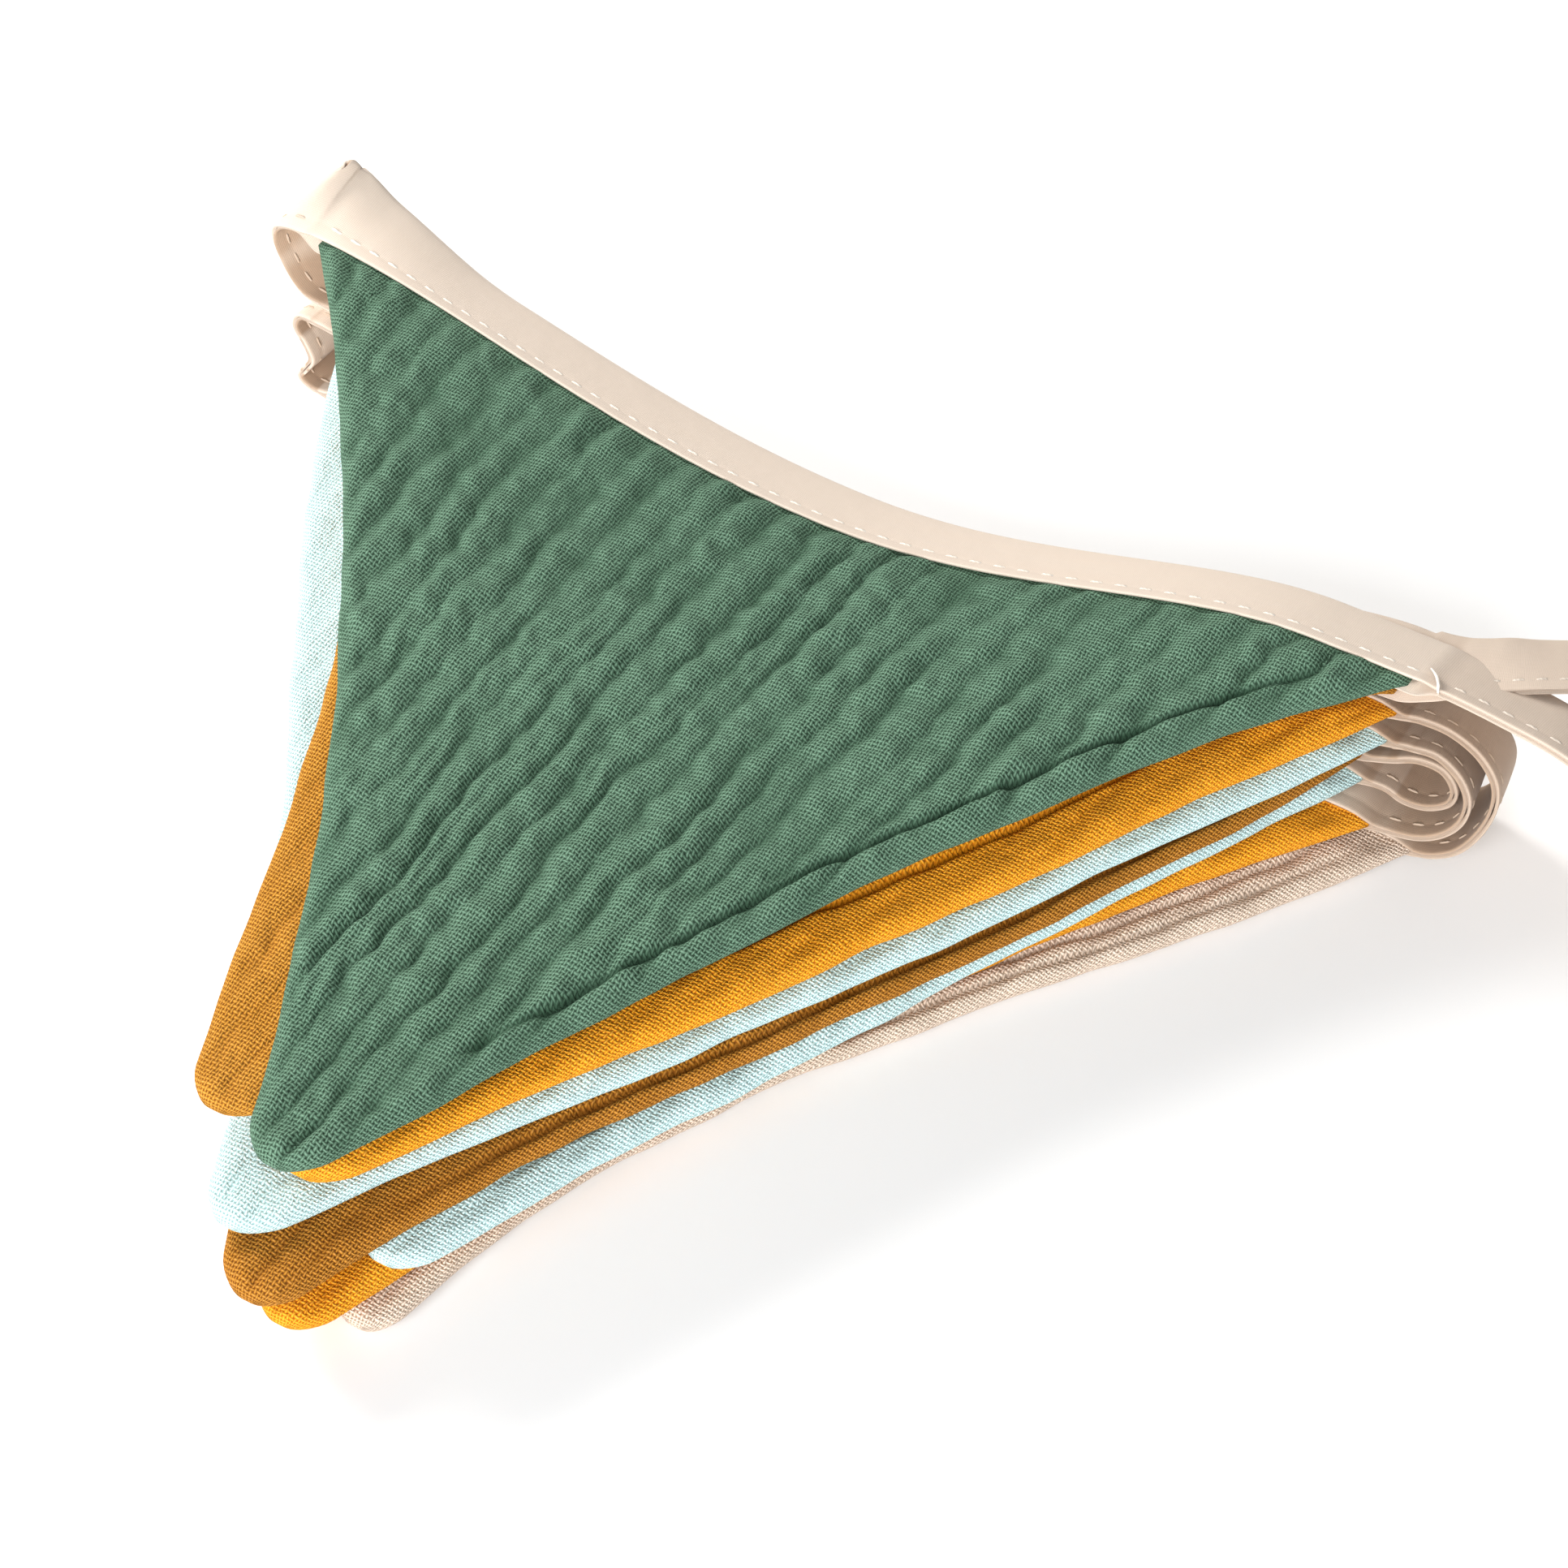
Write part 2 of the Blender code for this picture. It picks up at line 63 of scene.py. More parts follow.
# The line on which the flags' top edges leave the tape sags towards the tips and dips. Behind it
# the stack falls away, and turns up at the left end
END_HEIGHT = 28.6 * MM
HEADING_DIP = 5.7 * MM
HEADING_SAG = 7.5 * MM
SAG_CENTRE = 3 * MM
SAG_SPAN_LEFT = 84 * MM
SAG_SPAN_RIGHT = 60 * MM
DIP_FADE = 25 * MM
BACK_SLOPE = 0.42
LEFT_END_SLOPE = -0.02
LEFT_FLARE_FROM = -50 * MM
LEFT_FLARE_TO = -84 * MM

# How far the boundaries between the layers wander over the flags, as a share of the stack, and
# where that fades out before the tape
LAYER_WANDER = 0.009
WANDER_LENGTH_X = 15 * MM
WANDER_LENGTH_Y = 19 * MM
WANDER_FROM = -8 * MM
WANDER_FULL = -30 * MM

# Sides: how far they waver, slowly and quickly, and over what lengths
SLOW_WAVER_MM = 0.55
SLOW_WAVER_LENGTH = 14 * MM
QUICK_WAVER_MM = 0.22
QUICK_WAVER_LENGTH = 5 * MM

# Puffed cloth: radius of its rim, how much sharper it is at the tip, the band along the right
# side with finer columns for the seam's creases, and how far from the tape the cloth is full.
# Tape: gap between two runs, thickness of a leaf, and play beside the flag
RIM_ROUND = 2.6 * MM
TIP_SHARPER = 1.6
SEAM_BAND = 6 * MM
PINCH_LENGTH = 6 * MM
TAPE_GAP = 0.45 * MM
LEAF = 0.4 * MM
CLEAR = 0.3 * MM

# Crinkles: distance between puckers and their length, the knobs on them and a finer set over
# them, how they lean and fan out across the flag, and how they drift, jitter and swell
PUCKER_PITCH = 4.5 * MM
PUCKER_LENGTH = 30 * MM
KNOB_PITCH = 2.8 * MM
FINE_PITCH = 2.2 * MM
FINE_LENGTH = 6.0 * MM
PUCKER_LEAN = np.tan(np.radians(3))
PUCKER_FAN = 2.3
PUCKER_ORIGIN_Y = -20 * MM
PUCKER_DRIFT = 1.1 * MM
DRIFT_LENGTH = 14 * MM
DRIFT_WIDTH = 9 * MM
PUCKER_JITTER = 0.55 * MM
JITTER_LENGTH = 3.6 * MM
JITTER_WIDTH = 5 * MM
SWELL_WIDTH = 15 * MM
SWELL_LENGTH = 26 * MM
RIDGE_SHARE = 0.6
FORK_SHARE = 0.66
KNOB_SHARE = 0.34
FINE_SHARE = 0.34
NOISE_CELLS = 61

# Puckers of the top flag and of the others: height, relief that counts as level, and how dark
# the shade painted into the hollows between them is. Then the relief under which that painted
# shade starts, the dimples of the underside, and the drops from the tape between which the
# puckers start
TOP_PUCKERS = (1.6 * MM, 0.50, 1.25)
LOWER_PUCKERS = (0.62 * MM, 0.80, 0.6)
HOLLOW_BELOW = 0.6
UNDERSIDE_DIMPLE = 0.2 * MM
PUCKERS_START = (-2 * MM, 2 * MM)

# Creases where the seam allowance ends: width, depth, distance, how dark the shade painted into
# them is, how far their line wavers, and the shares of the way to the tip between which they fade
# in and out
CREASE_WIDTH = 0.45 * MM
CREASE_DEPTH = 1.0 * MM
CREASE_PITCH = 2.6 * MM
CREASE_SHADE = 1.6
SEAM_WAVER = 0.35 * MM
SEAM_WAVER_LENGTH = 16 * MM
CREASE_FADE_IN = (0.02, 0.12)
CREASE_FADE_OUT = (0.72, 0.92)

# Rows and columns of the top flag's mesh and of the others'
TOP_FLAG_GRID = (168, 204)
LOWER_FLAG_GRID = (110, 90)

# One row a flag, from the top of the stack down: the ends and tip of its triangle in mm, how far
# each side bows out (+) or in (-) a quarter and three quarters of the way to the tip, how far in
# from the right side the seam allowance ends (near the tape and near the tip, in mm), how many
# creases lie side by side there, its cloth's colour and the record's name for that cloth
FLAG_COLUMNS = ("name", "left_x", "left_set", "right_x", "right_set", "tip_x", "tip_drop",
                "left_bow_high", "left_bow_low", "right_bow_high", "right_bow_low",
                "seam_high", "seam_low", "creases", "colour", "slot")
GREEN = (0.094, 0.182, 0.117)
CARAMEL = (0.490, 0.212, 0.013)
YELLOW = (0.950, 0.400, 0.006)
AQUA = (0.660, 0.870, 0.870)
OCHRE = (0.410, 0.162, 0.005)
SAND = (0.760, 0.610, 0.490)
FLAG_ROWS = (
    ("flag_1_green", -75.3, 0.0, 75.3, -0.5, -0.3, 119.0, -5.3, -5.0, -5.3, -3.1,
     4.6, 2.8, 1, GREEN, "green_gauze"),
    ("flag_2_caramel", -72.4, -0.5, 73.5, 1.0, -11.3, 114.3, -7.4, -4.8, -5.6, -1.8,
     4.0, 3.0, 1, CARAMEL, "caramel_gauze"),
    ("flag_3_yellow", -71.8, 0.0, 74.1, 1.0, -0.5, 115.0, -5.0, -4.2, -0.2, -0.3,
     7.0, 6.0, 1, YELLOW, "yellow_gauze"),
    ("flag_4_aqua", -71.6, 0.0, 74.0, -0.6, -4.9, 122.3, 1.0, -2.8, 0.3, 0.2,
     4.6, 4.0, 1, AQUA, "aqua_gauze"),
    ("flag_5_ochre", -71.6, -0.5, 71.5, -1.0, 0.5, 127.1, -1.5, -1.5, 1.0, -2.2,
     2.2, 1.9, 1, OCHRE, "ochre_gauze"),
    ("flag_6_aqua", -71.4, -1.0, 72.2, -1.4, 8.7, 114.6, -1.5, -1.5, -0.9, -1.5,
     4.4, 3.6, 1, AQUA, "aqua_gauze"),
    ("flag_7_yellow", -71.0, -2.0, 74.9, -4.5, 2.1, 124.7, -2.3, -2.3, -4.5, -4.1,
     5.0, 4.0, 1, YELLOW, "yellow_gauze"),
    ("flag_8_sand", -75.6, -2.0, 80.0, -2.9, 7.8, 119.2, -2.3, -2.3, -3.3, -7.8,
     2.2, 1.8, 3, SAND, "sand_gauze"),
)
FLAGS = [dict(zip(FLAG_COLUMNS, row)) for row in FLAG_ROWS]


def smooth(start, end, value):
    """Smooth step 3u^2 - 2u^3 from 0 at start to 1 at end."""
    u = np.clip((value - start) / (end - start), 0, 1)
    return u * u * (3 - 2 * u)


def sag(x):
    """Share of the heading's sag and dip at x: (1 - u^2)^2, longer on the left than the right."""
    span = np.where(x < SAG_CENTRE, SAG_SPAN_LEFT, SAG_SPAN_RIGHT)
    u = np.clip((x - SAG_CENTRE) / span, -1, 1)
    return (1 - u * u) ** 2


def past_heading(x, y):
    """How far a point lies behind the line on which the flags leave the tape."""
    return y - (HEADING_Y - HEADING_SAG * sag(x))


def stack_height(x, y):
    """Height of the whole stack over a point: level over the flags, falling away under the tape."""
    beyond = past_heading(x, y)
    edge = END_HEIGHT - HEADING_DIP * sag(x)
    slope = BACK_SLOPE + (LEFT_END_SLOPE - BACK_SLOPE) * smooth(LEFT_FLARE_FROM, LEFT_FLARE_TO, x)
    over_flags = BODY_HEIGHT + (edge - BODY_HEIGHT) * np.exp(np.minimum(beyond, 0) / DIP_FADE)
    return over_flags - slope * np.maximum(beyond, 0)


def layer_share(level, x, y):
    """Height of the boundary above a number of layers, as a share of the stack: it wanders a
    little over the flags, and not at all under the tape."""
    if level in (0, LAYERS):
        return np.full_like(x, level / LAYERS)
    over_flags = 1 - smooth(WANDER_FULL, WANDER_FROM, past_heading(x, y))
    wave = (np.sin(x / (WANDER_LENGTH_X + level * MM) + 1.7 * level)
            * np.cos(y / WANDER_LENGTH_Y - 2.3 * level))
    return level / LAYERS + LAYER_WANDER * wave * over_flags


def flag_corners(flag):
    """Left end and right end of the flag's top edge, and its tip, in metres."""
    left = np.array([flag["left_x"] * MM, HEADING_Y + flag["left_set"] * MM])
    right = np.array([flag["right_x"] * MM, HEADING_Y + flag["right_set"] * MM])
    tip = np.array([flag["tip_x"] * MM, HEADING_Y - flag["tip_drop"] * MM])
    return left, right, tip


def side_bow(down, high, low):
    """Cubic through 0 at both ends of a side, high at a quarter and low at three quarters."""
    ends = down * (1 - down) / (0.25 * 0.75 * 0.5)
    return ends * ((0.75 - down) * high + (down - 0.25) * low) * MM


def cloth_noise(u, v, seed):
    """Smooth random height of about -1 to 1 (gradient noise): a random slope at each whole u and
    v, blended between them with the step 6t^5 - 15t^4 + 10t^3."""
    angle = np.random.RandomState(seed).rand(NOISE_CELLS, NOISE_CELLS) * 2 * np.pi
    column, row = np.floor(u).astype(int), np.floor(v).astype(int)
    along, up = u - column, v - row

    def slope_at(right, above):
        turn = angle[(column + right) % NOISE_CELLS, (row + above) % NOISE_CELLS]
        return np.cos(turn) * (along - right) + np.sin(turn) * (up - above)

    blend_u = along ** 3 * (along * (along * 6 - 15) + 10)
    blend_v = up ** 3 * (up * (up * 6 - 15) + 10)
    low = slope_at(0, 0) + (slope_at(1, 0) - slope_at(0, 0)) * blend_u
    high = slope_at(0, 1) + (slope_at(1, 1) - slope_at(0, 1)) * blend_u
    return 1.5 * (low + (high - low) * blend_v)


def puckers(x, y, seed):
    """Height of the crinkles, 0 in the creases to about 1 on the puffs.

    Half are ridges, |sin| of the place across the flag, shifted by noise so that they wander.
    Half are the size of noise stretched along the flag, whose zero lines are forking creases.
    Noise along them makes knobs, and a finer set lies over the first."""
    y = y - PUCKER_ORIGIN_Y
    across = x - PUCKER_LEAN * y - PUCKER_FAN * x * y
    across = across + PUCKER_DRIFT * cloth_noise(y / DRIFT_LENGTH, x / DRIFT_WIDTH, seed + 1)
    across = across + PUCKER_JITTER * cloth_noise(y / JITTER_LENGTH, x / JITTER_WIDTH, seed + 4)
    ridge = np.abs(np.sin(np.pi * across / PUCKER_PITCH)) ** 0.85
    forking = np.abs(cloth_noise(across / PUCKER_PITCH, y / PUCKER_LENGTH, seed)) ** 0.8
    knob = cloth_noise(across / KNOB_PITCH, y / KNOB_PITCH, seed + 5)
    fine = np.abs(cloth_noise(across / FINE_PITCH, y / FINE_LENGTH, seed + 2)) ** 0.9
    swell = 0.8 + 0.35 * cloth_noise(x / SWELL_WIDTH, y / SWELL_LENGTH, seed + 3)
    coarse = (RIDGE_SHARE * ridge + FORK_SHARE * forking) * (1 + KNOB_SHARE * knob)
    return swell * (coarse + FINE_SHARE * fine)


def flag_sides(number, drop, depth):
    """Left and right side of a flag's outline at each drop from the tape, and the way that each
    side faces.

    A side is a straight line from the top edge to the blunt tip, plus its bow and its waver. Over
    the tip's length both draw together as the sides of an ellipse do."""
    flag = FLAGS[number - 1]
    left, right, tip = flag_corners(flag)
    down = np.clip(drop / depth, 0, 1)[:, None]
    tip_half = np.array([TIP_WIDTH / 2, 0])
    left_out = np.array([-depth, left[0] - tip[0]]) / np.hypot(depth, left[0] - tip[0])
    right_out = np.array([depth, tip[0] - right[0]]) / np.hypot(depth, tip[0] - right[0])

    def wavering(seed):
        free = np.sin(np.pi * down) ** 0.5
        line = np.full_like(drop, seed + 0.5)
        slow = cloth_noise(drop / SLOW_WAVER_LENGTH, line, seed)
        quick = cloth_noise(drop / QUICK_WAVER_LENGTH, line, seed + 1)
        return (SLOW_WAVER_MM * slow + QUICK_WAVER_MM * quick)[:, None] * free * MM

    left_bow = side_bow(down, flag["left_bow_high"], flag["left_bow_low"]) + wavering(number * 7)
    right_bow = side_bow(down, flag["right_bow_high"], flag["right_bow_low"])
    right_bow = right_bow + wavering(number * 7 + 3)
    left_side = left + (tip - tip_half - left) * down + left_out * left_bow
    right_side = right + (tip + tip_half - right) * down + right_out * right_bow
    past = np.clip((drop - depth + TIP_LENGTH) / TIP_LENGTH, 0, 1)[:, None]
    middle = (left_side + right_side) / 2
    rounding = np.sqrt(1 - TIP_ROUNDING * past ** 2)
    left_side = middle + (left_side - middle) * rounding
    right_side = middle + (right_side - middle) * rounding
    return left_side, right_side, left_out, right_out


def seam_creases(number, drop, down, from_side):
    """Depth, 0 to about 1, of the creases where the seam allowance ends, at points that lie a
    distance in from the right side: a bell curve across each, faded out at the tape and tip."""
    flag = FLAGS[number - 1]
    seam = (flag["seam_high"] + (flag["seam_low"] - flag["seam_high"]) * down) * MM
    line = cloth_noise(drop / SEAM_WAVER_LENGTH, np.full_like(drop, 0.5), number + 40)
    off_seam = from_side - (seam + SEAM_WAVER * line[:, None])
    crease = sum(np.exp(-((off_seam - CREASE_PITCH * beside) / CREASE_WIDTH) ** 2)
                 for beside in range(flag["creases"])) / np.sqrt(flag["creases"])
    return crease * smooth(*CREASE_FADE_IN, down) * (1 - smooth(*CREASE_FADE_OUT, down))


def flag_grid(number, rows, columns):
    """Upper and lower face of one flag as two grids of points that share their border, with each
    point's place on the flat cloth in mm and how much shade is painted on it in hollows and
    creases.

    Rows run from inside the tape to the tip, columns from the left side to the right. Each point
    stands half the layer's thickness above or below the layer's middle, less by a quarter circle
    at the rim, and less where the tape pinches the flag. Puckers are added to the upper face, and
    the creases where the seam allowance ends are taken from it."""
    _, _, tip = flag_corners(FLAGS[number - 1])
    depth = HEADING_Y - tip[1]
    around = np.linspace(0, np.pi / 2, 8)
    drop = np.concatenate([
        np.linspace(-HEADING_IN_TAPE, 0, 6)[:-1],
        np.linspace(0, depth - TIP_LENGTH, rows)[:-1],
        depth - TIP_LENGTH * (1 - np.sin(around))])
    down = np.clip(drop / depth, 0, 1)[:, None]
    left_side, right_side, left_out, right_out = flag_sides(number, drop, depth)

    width = (right_side - left_side)[:, :1]
    rim = np.minimum(RIM_ROUND, width / 3)
    seam_band = np.minimum(SEAM_BAND, width / 6)
    from_left = np.hstack([
        rim * (1 - np.cos(around)),
        rim + (width - 2 * rim - seam_band) * np.linspace(0, 1, columns)[1:-1],
        width - rim - seam_band * np.linspace(1, 0, 16)[:-1],
        width - rim * (1 - np.cos(around))[::-1]])
    across = from_left / width
    x = left_side[:, :1] + width * across
    y = left_side[:, 1:] + (right_side - left_side)[:, 1:] * across
    y = y - HEADING_SAG * sag(x) * (1 - down) ** 2 - np.minimum(drop, 0)[:, None]

    side_gap = np.minimum(from_left, width - from_left)
    end_gap = np.minimum(drop + HEADING_IN_TAPE, TIP_SHARPER * (depth - drop))[:, None]
    to_side = np.clip(side_gap / rim, 0, 1)
    to_end = np.clip(end_gap / RIM_ROUND, 0, 1)
    roundness = np.sqrt(1 - (1 - to_side) ** 2) * np.sqrt(1 - (1 - to_end) ** 2)

    height = stack_height(x, y)
    top = height * layer_share(LAYERS + 1 - number, x, y)
    bottom = height * layer_share(LAYERS - number, x, y)
    mid = (top + bottom) / 2
    in_tape = height / (2 * LAYERS) - TAPE_GAP / 2 - LEAF - CLEAR
    full = smooth(0, PINCH_LENGTH, drop)[:, None]
    above = in_tape + ((top - bottom - LAYER_GAP) / 2 - in_tape) * full
    below = in_tape + (mid - in_tape) * full if number == LAYERS else above

    relief = puckers(x, y, number * 11)
    pucker_height, level, shade = TOP_PUCKERS if number == 1 else LOWER_PUCKERS
    loose = smooth(*PUCKERS_START, drop)[:, None] * (0.35 + 0.65 * smooth(0, 1, to_side * to_end))
    crease = seam_creases(number, drop, down, (width - from_left) * right_out[0])
    lift = pucker_height * (relief - level) * loose - CREASE_DEPTH * crease
    upper = np.stack([x, y, mid + (above + lift) * roundness], axis=2)
    dimple = 0 if number == LAYERS else UNDERSIDE_DIMPLE * relief * loose
    lower = np.stack([x, y, mid - (below - dimple) * roundness], axis=2)

    wrap = RIM_ROUND * (np.arcsin(1 - to_side) - (1 - to_side))
    out = np.where((across < 0.5)[..., None], left_out, right_out)
    flat = np.stack([x, y], axis=2) + out * wrap[..., None]
    flat[..., 1] -= RIM_ROUND * (np.arcsin(1 - to_end) - (1 - to_end)) * (down > 0.5)
    # Shade painted into the hollows between puckers and into the seam's creases
    painted_crease_shade = shade * np.clip(1 - relief / HOLLOW_BELOW, 0, 1) * loose + CREASE_SHADE * crease
    return upper, lower, flat / MM, painted_crease_shade


def cloth_object(name, points, faces, places, material, painted_shade_share=None):
    """Mesh object from point and face arrays. places gives each face corner's place on the flat
    cloth in mm, kept as the UV map, and the last argument each point's share of painted shade,
    kept in the attribute named crease."""
    mesh = bpy.data.meshes.new(name)
    mesh.from_pydata(points.tolist(), [], faces.tolist())
    mesh.uv_layers.new(name="cloth_mm").data.foreach_set("uv", places.ravel())
    if painted_shade_share is not None:
        mesh.attributes.new("crease", "FLOAT", "POINT").data.foreach_set("value", painted_shade_share)
    mesh.shade_smooth()
    mesh.materials.append(material)
    piece = bpy.data.objects.new(name, mesh)
    bpy.context.scene.collection.objects.link(piece)
    return piece


class Recipe:
    """A material's node tree with short calls for the nodes that cloth needs."""

    def __init__(self, name):
        self.material = bpy.data.materials.new(name)
        self.material.use_nodes = True
        self.tree = self.material.node_tree
        self.shader = self.tree.nodes["Principled BSDF"]

    def node(self, kind, settings=None, **inputs):
        """A node with its settings and its inputs, by name with _ for a blank."""
        made = self.tree.nodes.new(kind)
        for key, value in (settings or {}).items():
            setattr(made, key, value)
        for key, value in inputs.items():
            self.feed(made.inputs[key.replace("_", " ")], value)
        return made

    def feed(self, socket, value):
        """Puts a number, colour or another node's output into a socket."""
        if isinstance(value, bpy.types.NodeSocket):
            self.tree.links.new(value, socket)
        else:
            socket.default_value = value

    def math(self, operation, *values):
        """Output of a Math node."""
        made = self.tree.nodes.new("ShaderNodeMath")
        made.operation = operation
        for socket, value in zip(made.inputs, values):
            self.feed(socket, value)
        return made.outputs[0]

    def mix(self, share, first, second):
        """Colour between first and second."""
        made = self.tree.nodes.new("ShaderNodeMix")
        made.data_type = "RGBA"
        self.feed(made.inputs[0], share)
        self.feed(made.inputs[6], first)
        self.feed(made.inputs[7], second)
        return made.outputs[2]

    def noise(self, vector, scale, detail=2.0):
        """Noise value from 0 to 1 at a place."""
        made = self.node("ShaderNodeTexNoise", None, Vector=vector, Scale=scale, Detail=detail)
        return made.outputs["Fac"]

    def stretched(self, vector, across, along):
        """Noise value on a place stretched by two scales."""
        made = self.node("ShaderNodeMapping", None, Vector=vector, Scale=(across, along, 1))
        return self.noise(made.outputs[0], 1.0)

    def depth(self, share):
        """A share of the shade painted on each point in a crease or a loop, as its mesh says."""
        made = self.node("ShaderNodeAttribute", {"attribute_name": "crease"})
        return self.math("MULTIPLY", made.outputs["Fac"], share)

    def surface(self, colour, bumps, distance, strength=1.0, **inputs):
        """Gives the shader its colour, a bump map with its distance in metres, and plain inputs
        by name with _ for a blank."""
        bump = self.node("ShaderNodeBump", None, Height=bumps, Distance=distance,
                         Strength=strength)
        self.feed(self.shader.inputs["Base Color"], colour)
        self.feed(self.shader.inputs["Normal"], bump.outputs[0])
        for key, value in inputs.items():
            self.feed(self.shader.inputs[key.replace("_", " ")], value)
        return self.material

    def weave(self, warp_pitch, weft_pitch, wander, uneven, thinness):
        """Height 0 to 1 of a plain weave on the cloth's own map in mm, and that map's vector.

        Each set of threads is |cos| of its place to the power of thinness, times noise stretched
        along the threads, so that thick and thin ones lie side by side. The product of both
        cosines tells which set lies on top at a crossing."""
        place = self.node("ShaderNodeUVMap", {"uv_map": "cloth_mm"}).outputs["UV"]
        bend = self.node("ShaderNodeTexNoise", None, Vector=place, Scale=0.4, Detail=3.0)
        bent = self.node("ShaderNodeVectorMath", {"operation": "SUBTRACT"})
        self.feed(bent.inputs[0], bend.outputs["Color"])
        bent.inputs[1].default_value = (0.5, 0.5, 0.5)
        moved = self.node("ShaderNodeVectorMath", {"operation": "MULTIPLY_ADD"})
        self.feed(moved.inputs[0], bent.outputs[0])
        moved.inputs[1].default_value = (wander, wander, 0)
        self.feed(moved.inputs[2], place)
        parts = self.node("ShaderNodeSeparateXYZ", None, Vector=moved.outputs[0])
        warp = self.math("COSINE", self.math("MULTIPLY", parts.outputs["X"], np.pi / warp_pitch))
        weft = self.math("COSINE", self.math("MULTIPLY", parts.outputs["Y"], np.pi / weft_pitch))
        over = self.math("MULTIPLY", warp, weft)

        def thread_set(wave, across, along, above):
            thick = self.stretched(moved.outputs[0], across, along)
            thick = self.math("MULTIPLY_ADD", thick, uneven, 1 - uneven / 2)
            rounded = self.math("POWER", self.math("ABSOLUTE", wave), thinness)
            up = self.math("MULTIPLY", rounded, self.math("MULTIPLY_ADD", over, above, 0.6))
            return self.math("MULTIPLY", up, thick)

        threads = self.math("MAXIMUM", thread_set(warp, 0.9 / warp_pitch, 0.25, 0.4),
                            thread_set(weft, 0.25, 0.9 / weft_pitch, -0.4))
        return threads, place


# Gauze: thread spacing across and along a flag; thread height under which a gap shows and over
# which thread does; shares of painted highlight on the threads' crowns, of painted shade in
# creases and of mottle; and the heights of fuzz and crepe against a thread's, with the distance
# they all stand for
WARP_PITCH_MM = 0.44
WEFT_PITCH_MM = 0.55
GAP_BELOW = 0.24
THREAD_ABOVE = 0.52
CROWN_HIGHLIGHT = 0.9
PAINTED_SHADE_IN_CREASES = 0.7
MOTTLE = 0.2
FUZZ_HEIGHT = 0.35
CREPE_HEIGHT = 2.6
GAUZE_BUMP = 0.00018


def gauze(name, colour):
    """Matt crinkled gauze: light threads over dark gaps, with a painted highlight on the threads'
    crowns and painted shade in its creases, slightly mottled, with the threads raised and a little
    fuzzy."""
    cloth = Recipe(name)
    threads, place = cloth.weave(WARP_PITCH_MM, WEFT_PITCH_MM, wander=0.7, uneven=0.9,
                                 thinness=1.5)
    thread = (*colour, 1)
    gap = (*(0.5 * c ** 1.9 for c in colour), 1)
    # Colour of the shade painted into hollows and creases
    painted_shade = (*(0.6 * c ** 1.35 for c in colour), 1)
    gain = min(1.5, 0.97 / max(colour))
    light = (*(gain * c + 0.06 * (1 - gain * c) for c in colour), 1)
    cover = cloth.node("ShaderNodeMapRange", {"interpolation_type": "SMOOTHSTEP"}, Value=threads,
                       From_Min=GAP_BELOW, From_Max=THREAD_ABOVE)
    woven = cloth.mix(cover.outputs[0], gap, thread)
    # Painted highlight on the threads' crowns
    crown_highlight = cloth.math("MULTIPLY", cloth.math("POWER", threads, 2.5), CROWN_HIGHLIGHT)
    woven = cloth.mix(crown_highlight, woven, light)
    # Painted shade in hollows and creases, as the mesh's attribute says
    woven = cloth.mix(cloth.depth(PAINTED_SHADE_IN_CREASES), woven, painted_shade)
    mottle = cloth.math("MULTIPLY", cloth.noise(place, 0.12, 3.0), MOTTLE)
    woven = cloth.mix(mottle, woven, light)
    fuzz = cloth.math("MULTIPLY", cloth.noise(place, 6.0, 4.0), FUZZ_HEIGHT)
    crepe = cloth.math("MULTIPLY", cloth.stretched(place, 0.85, 0.45), CREPE_HEIGHT)
    raised = cloth.math("ADD", cloth.math("ADD", threads, fuzz), crepe)
    return cloth.surface(woven, raised, GAUZE_BUMP, Roughness=0.95, Specular_IOR_Level=0.08,
                         Sheen_Weight=0.15, Sheen_Roughness=0.5, Sheen_Tint=light)


def pillow_arrays(upper, lower, flat):
    """Points, quads and corner places of a closed body between two grids with one border, and
    which points of a grid lie inside it. flat is each grid point's place on the flat cloth."""
    rows, columns = upper.shape[:2]
    index = np.arange(rows * columns).reshape(rows, columns)
    inside = np.zeros((rows, columns), bool)
    inside[1:-1, 1:-1] = True
    lower_index = index.copy()
    lower_index[inside] = rows * columns + np.arange(inside.sum())

    def quads(grid):
        corners = grid[:-1, :-1], grid[1:, :-1], grid[1:, 1:], grid[:-1, 1:]
        return np.stack(corners, axis=2).reshape(-1, 4)

    points = np.vstack([upper.reshape(-1, 3), lower[inside]])
    faces = np.vstack([quads(index), quads(lower_index)[:, ::-1]])
    on_cloth = np.vstack([quads(index), quads(index)[:, ::-1]])
    places = flat.reshape(-1, 2)[on_cloth].reshape(-1, 2)
    return points, faces, places, inside


for number, flag in enumerate(FLAGS, start=1):
    rows, columns = TOP_FLAG_GRID if number == 1 else LOWER_FLAG_GRID
    upper, lower, flat, painted_crease_shade = flag_grid(number, rows, columns)
    points, faces, places, inside = pillow_arrays(upper, lower, flat)
    # Painted shade of the upper face's hollows and creases; the lower face's inner points get none
    creases = np.concatenate([painted_crease_shade.ravel(), np.zeros(inside.sum())])
    material = gauze(flag["name"] + "_gauze", flag["colour"])
    piece = cloth_object(flag["name"] + "_cloth", points, faces, places, material, creases)
    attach(piece, "root")
    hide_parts(flag["name"])

# ---------------------------------------------------------------------------------------------
# Tape
#
# One long strip of smooth cotton, folded in half along its length over the flags' top edges. It
# runs through the stack flag by flag, turns back in loops at both ends, and its two free ends
# hang from the right end down to the surface.

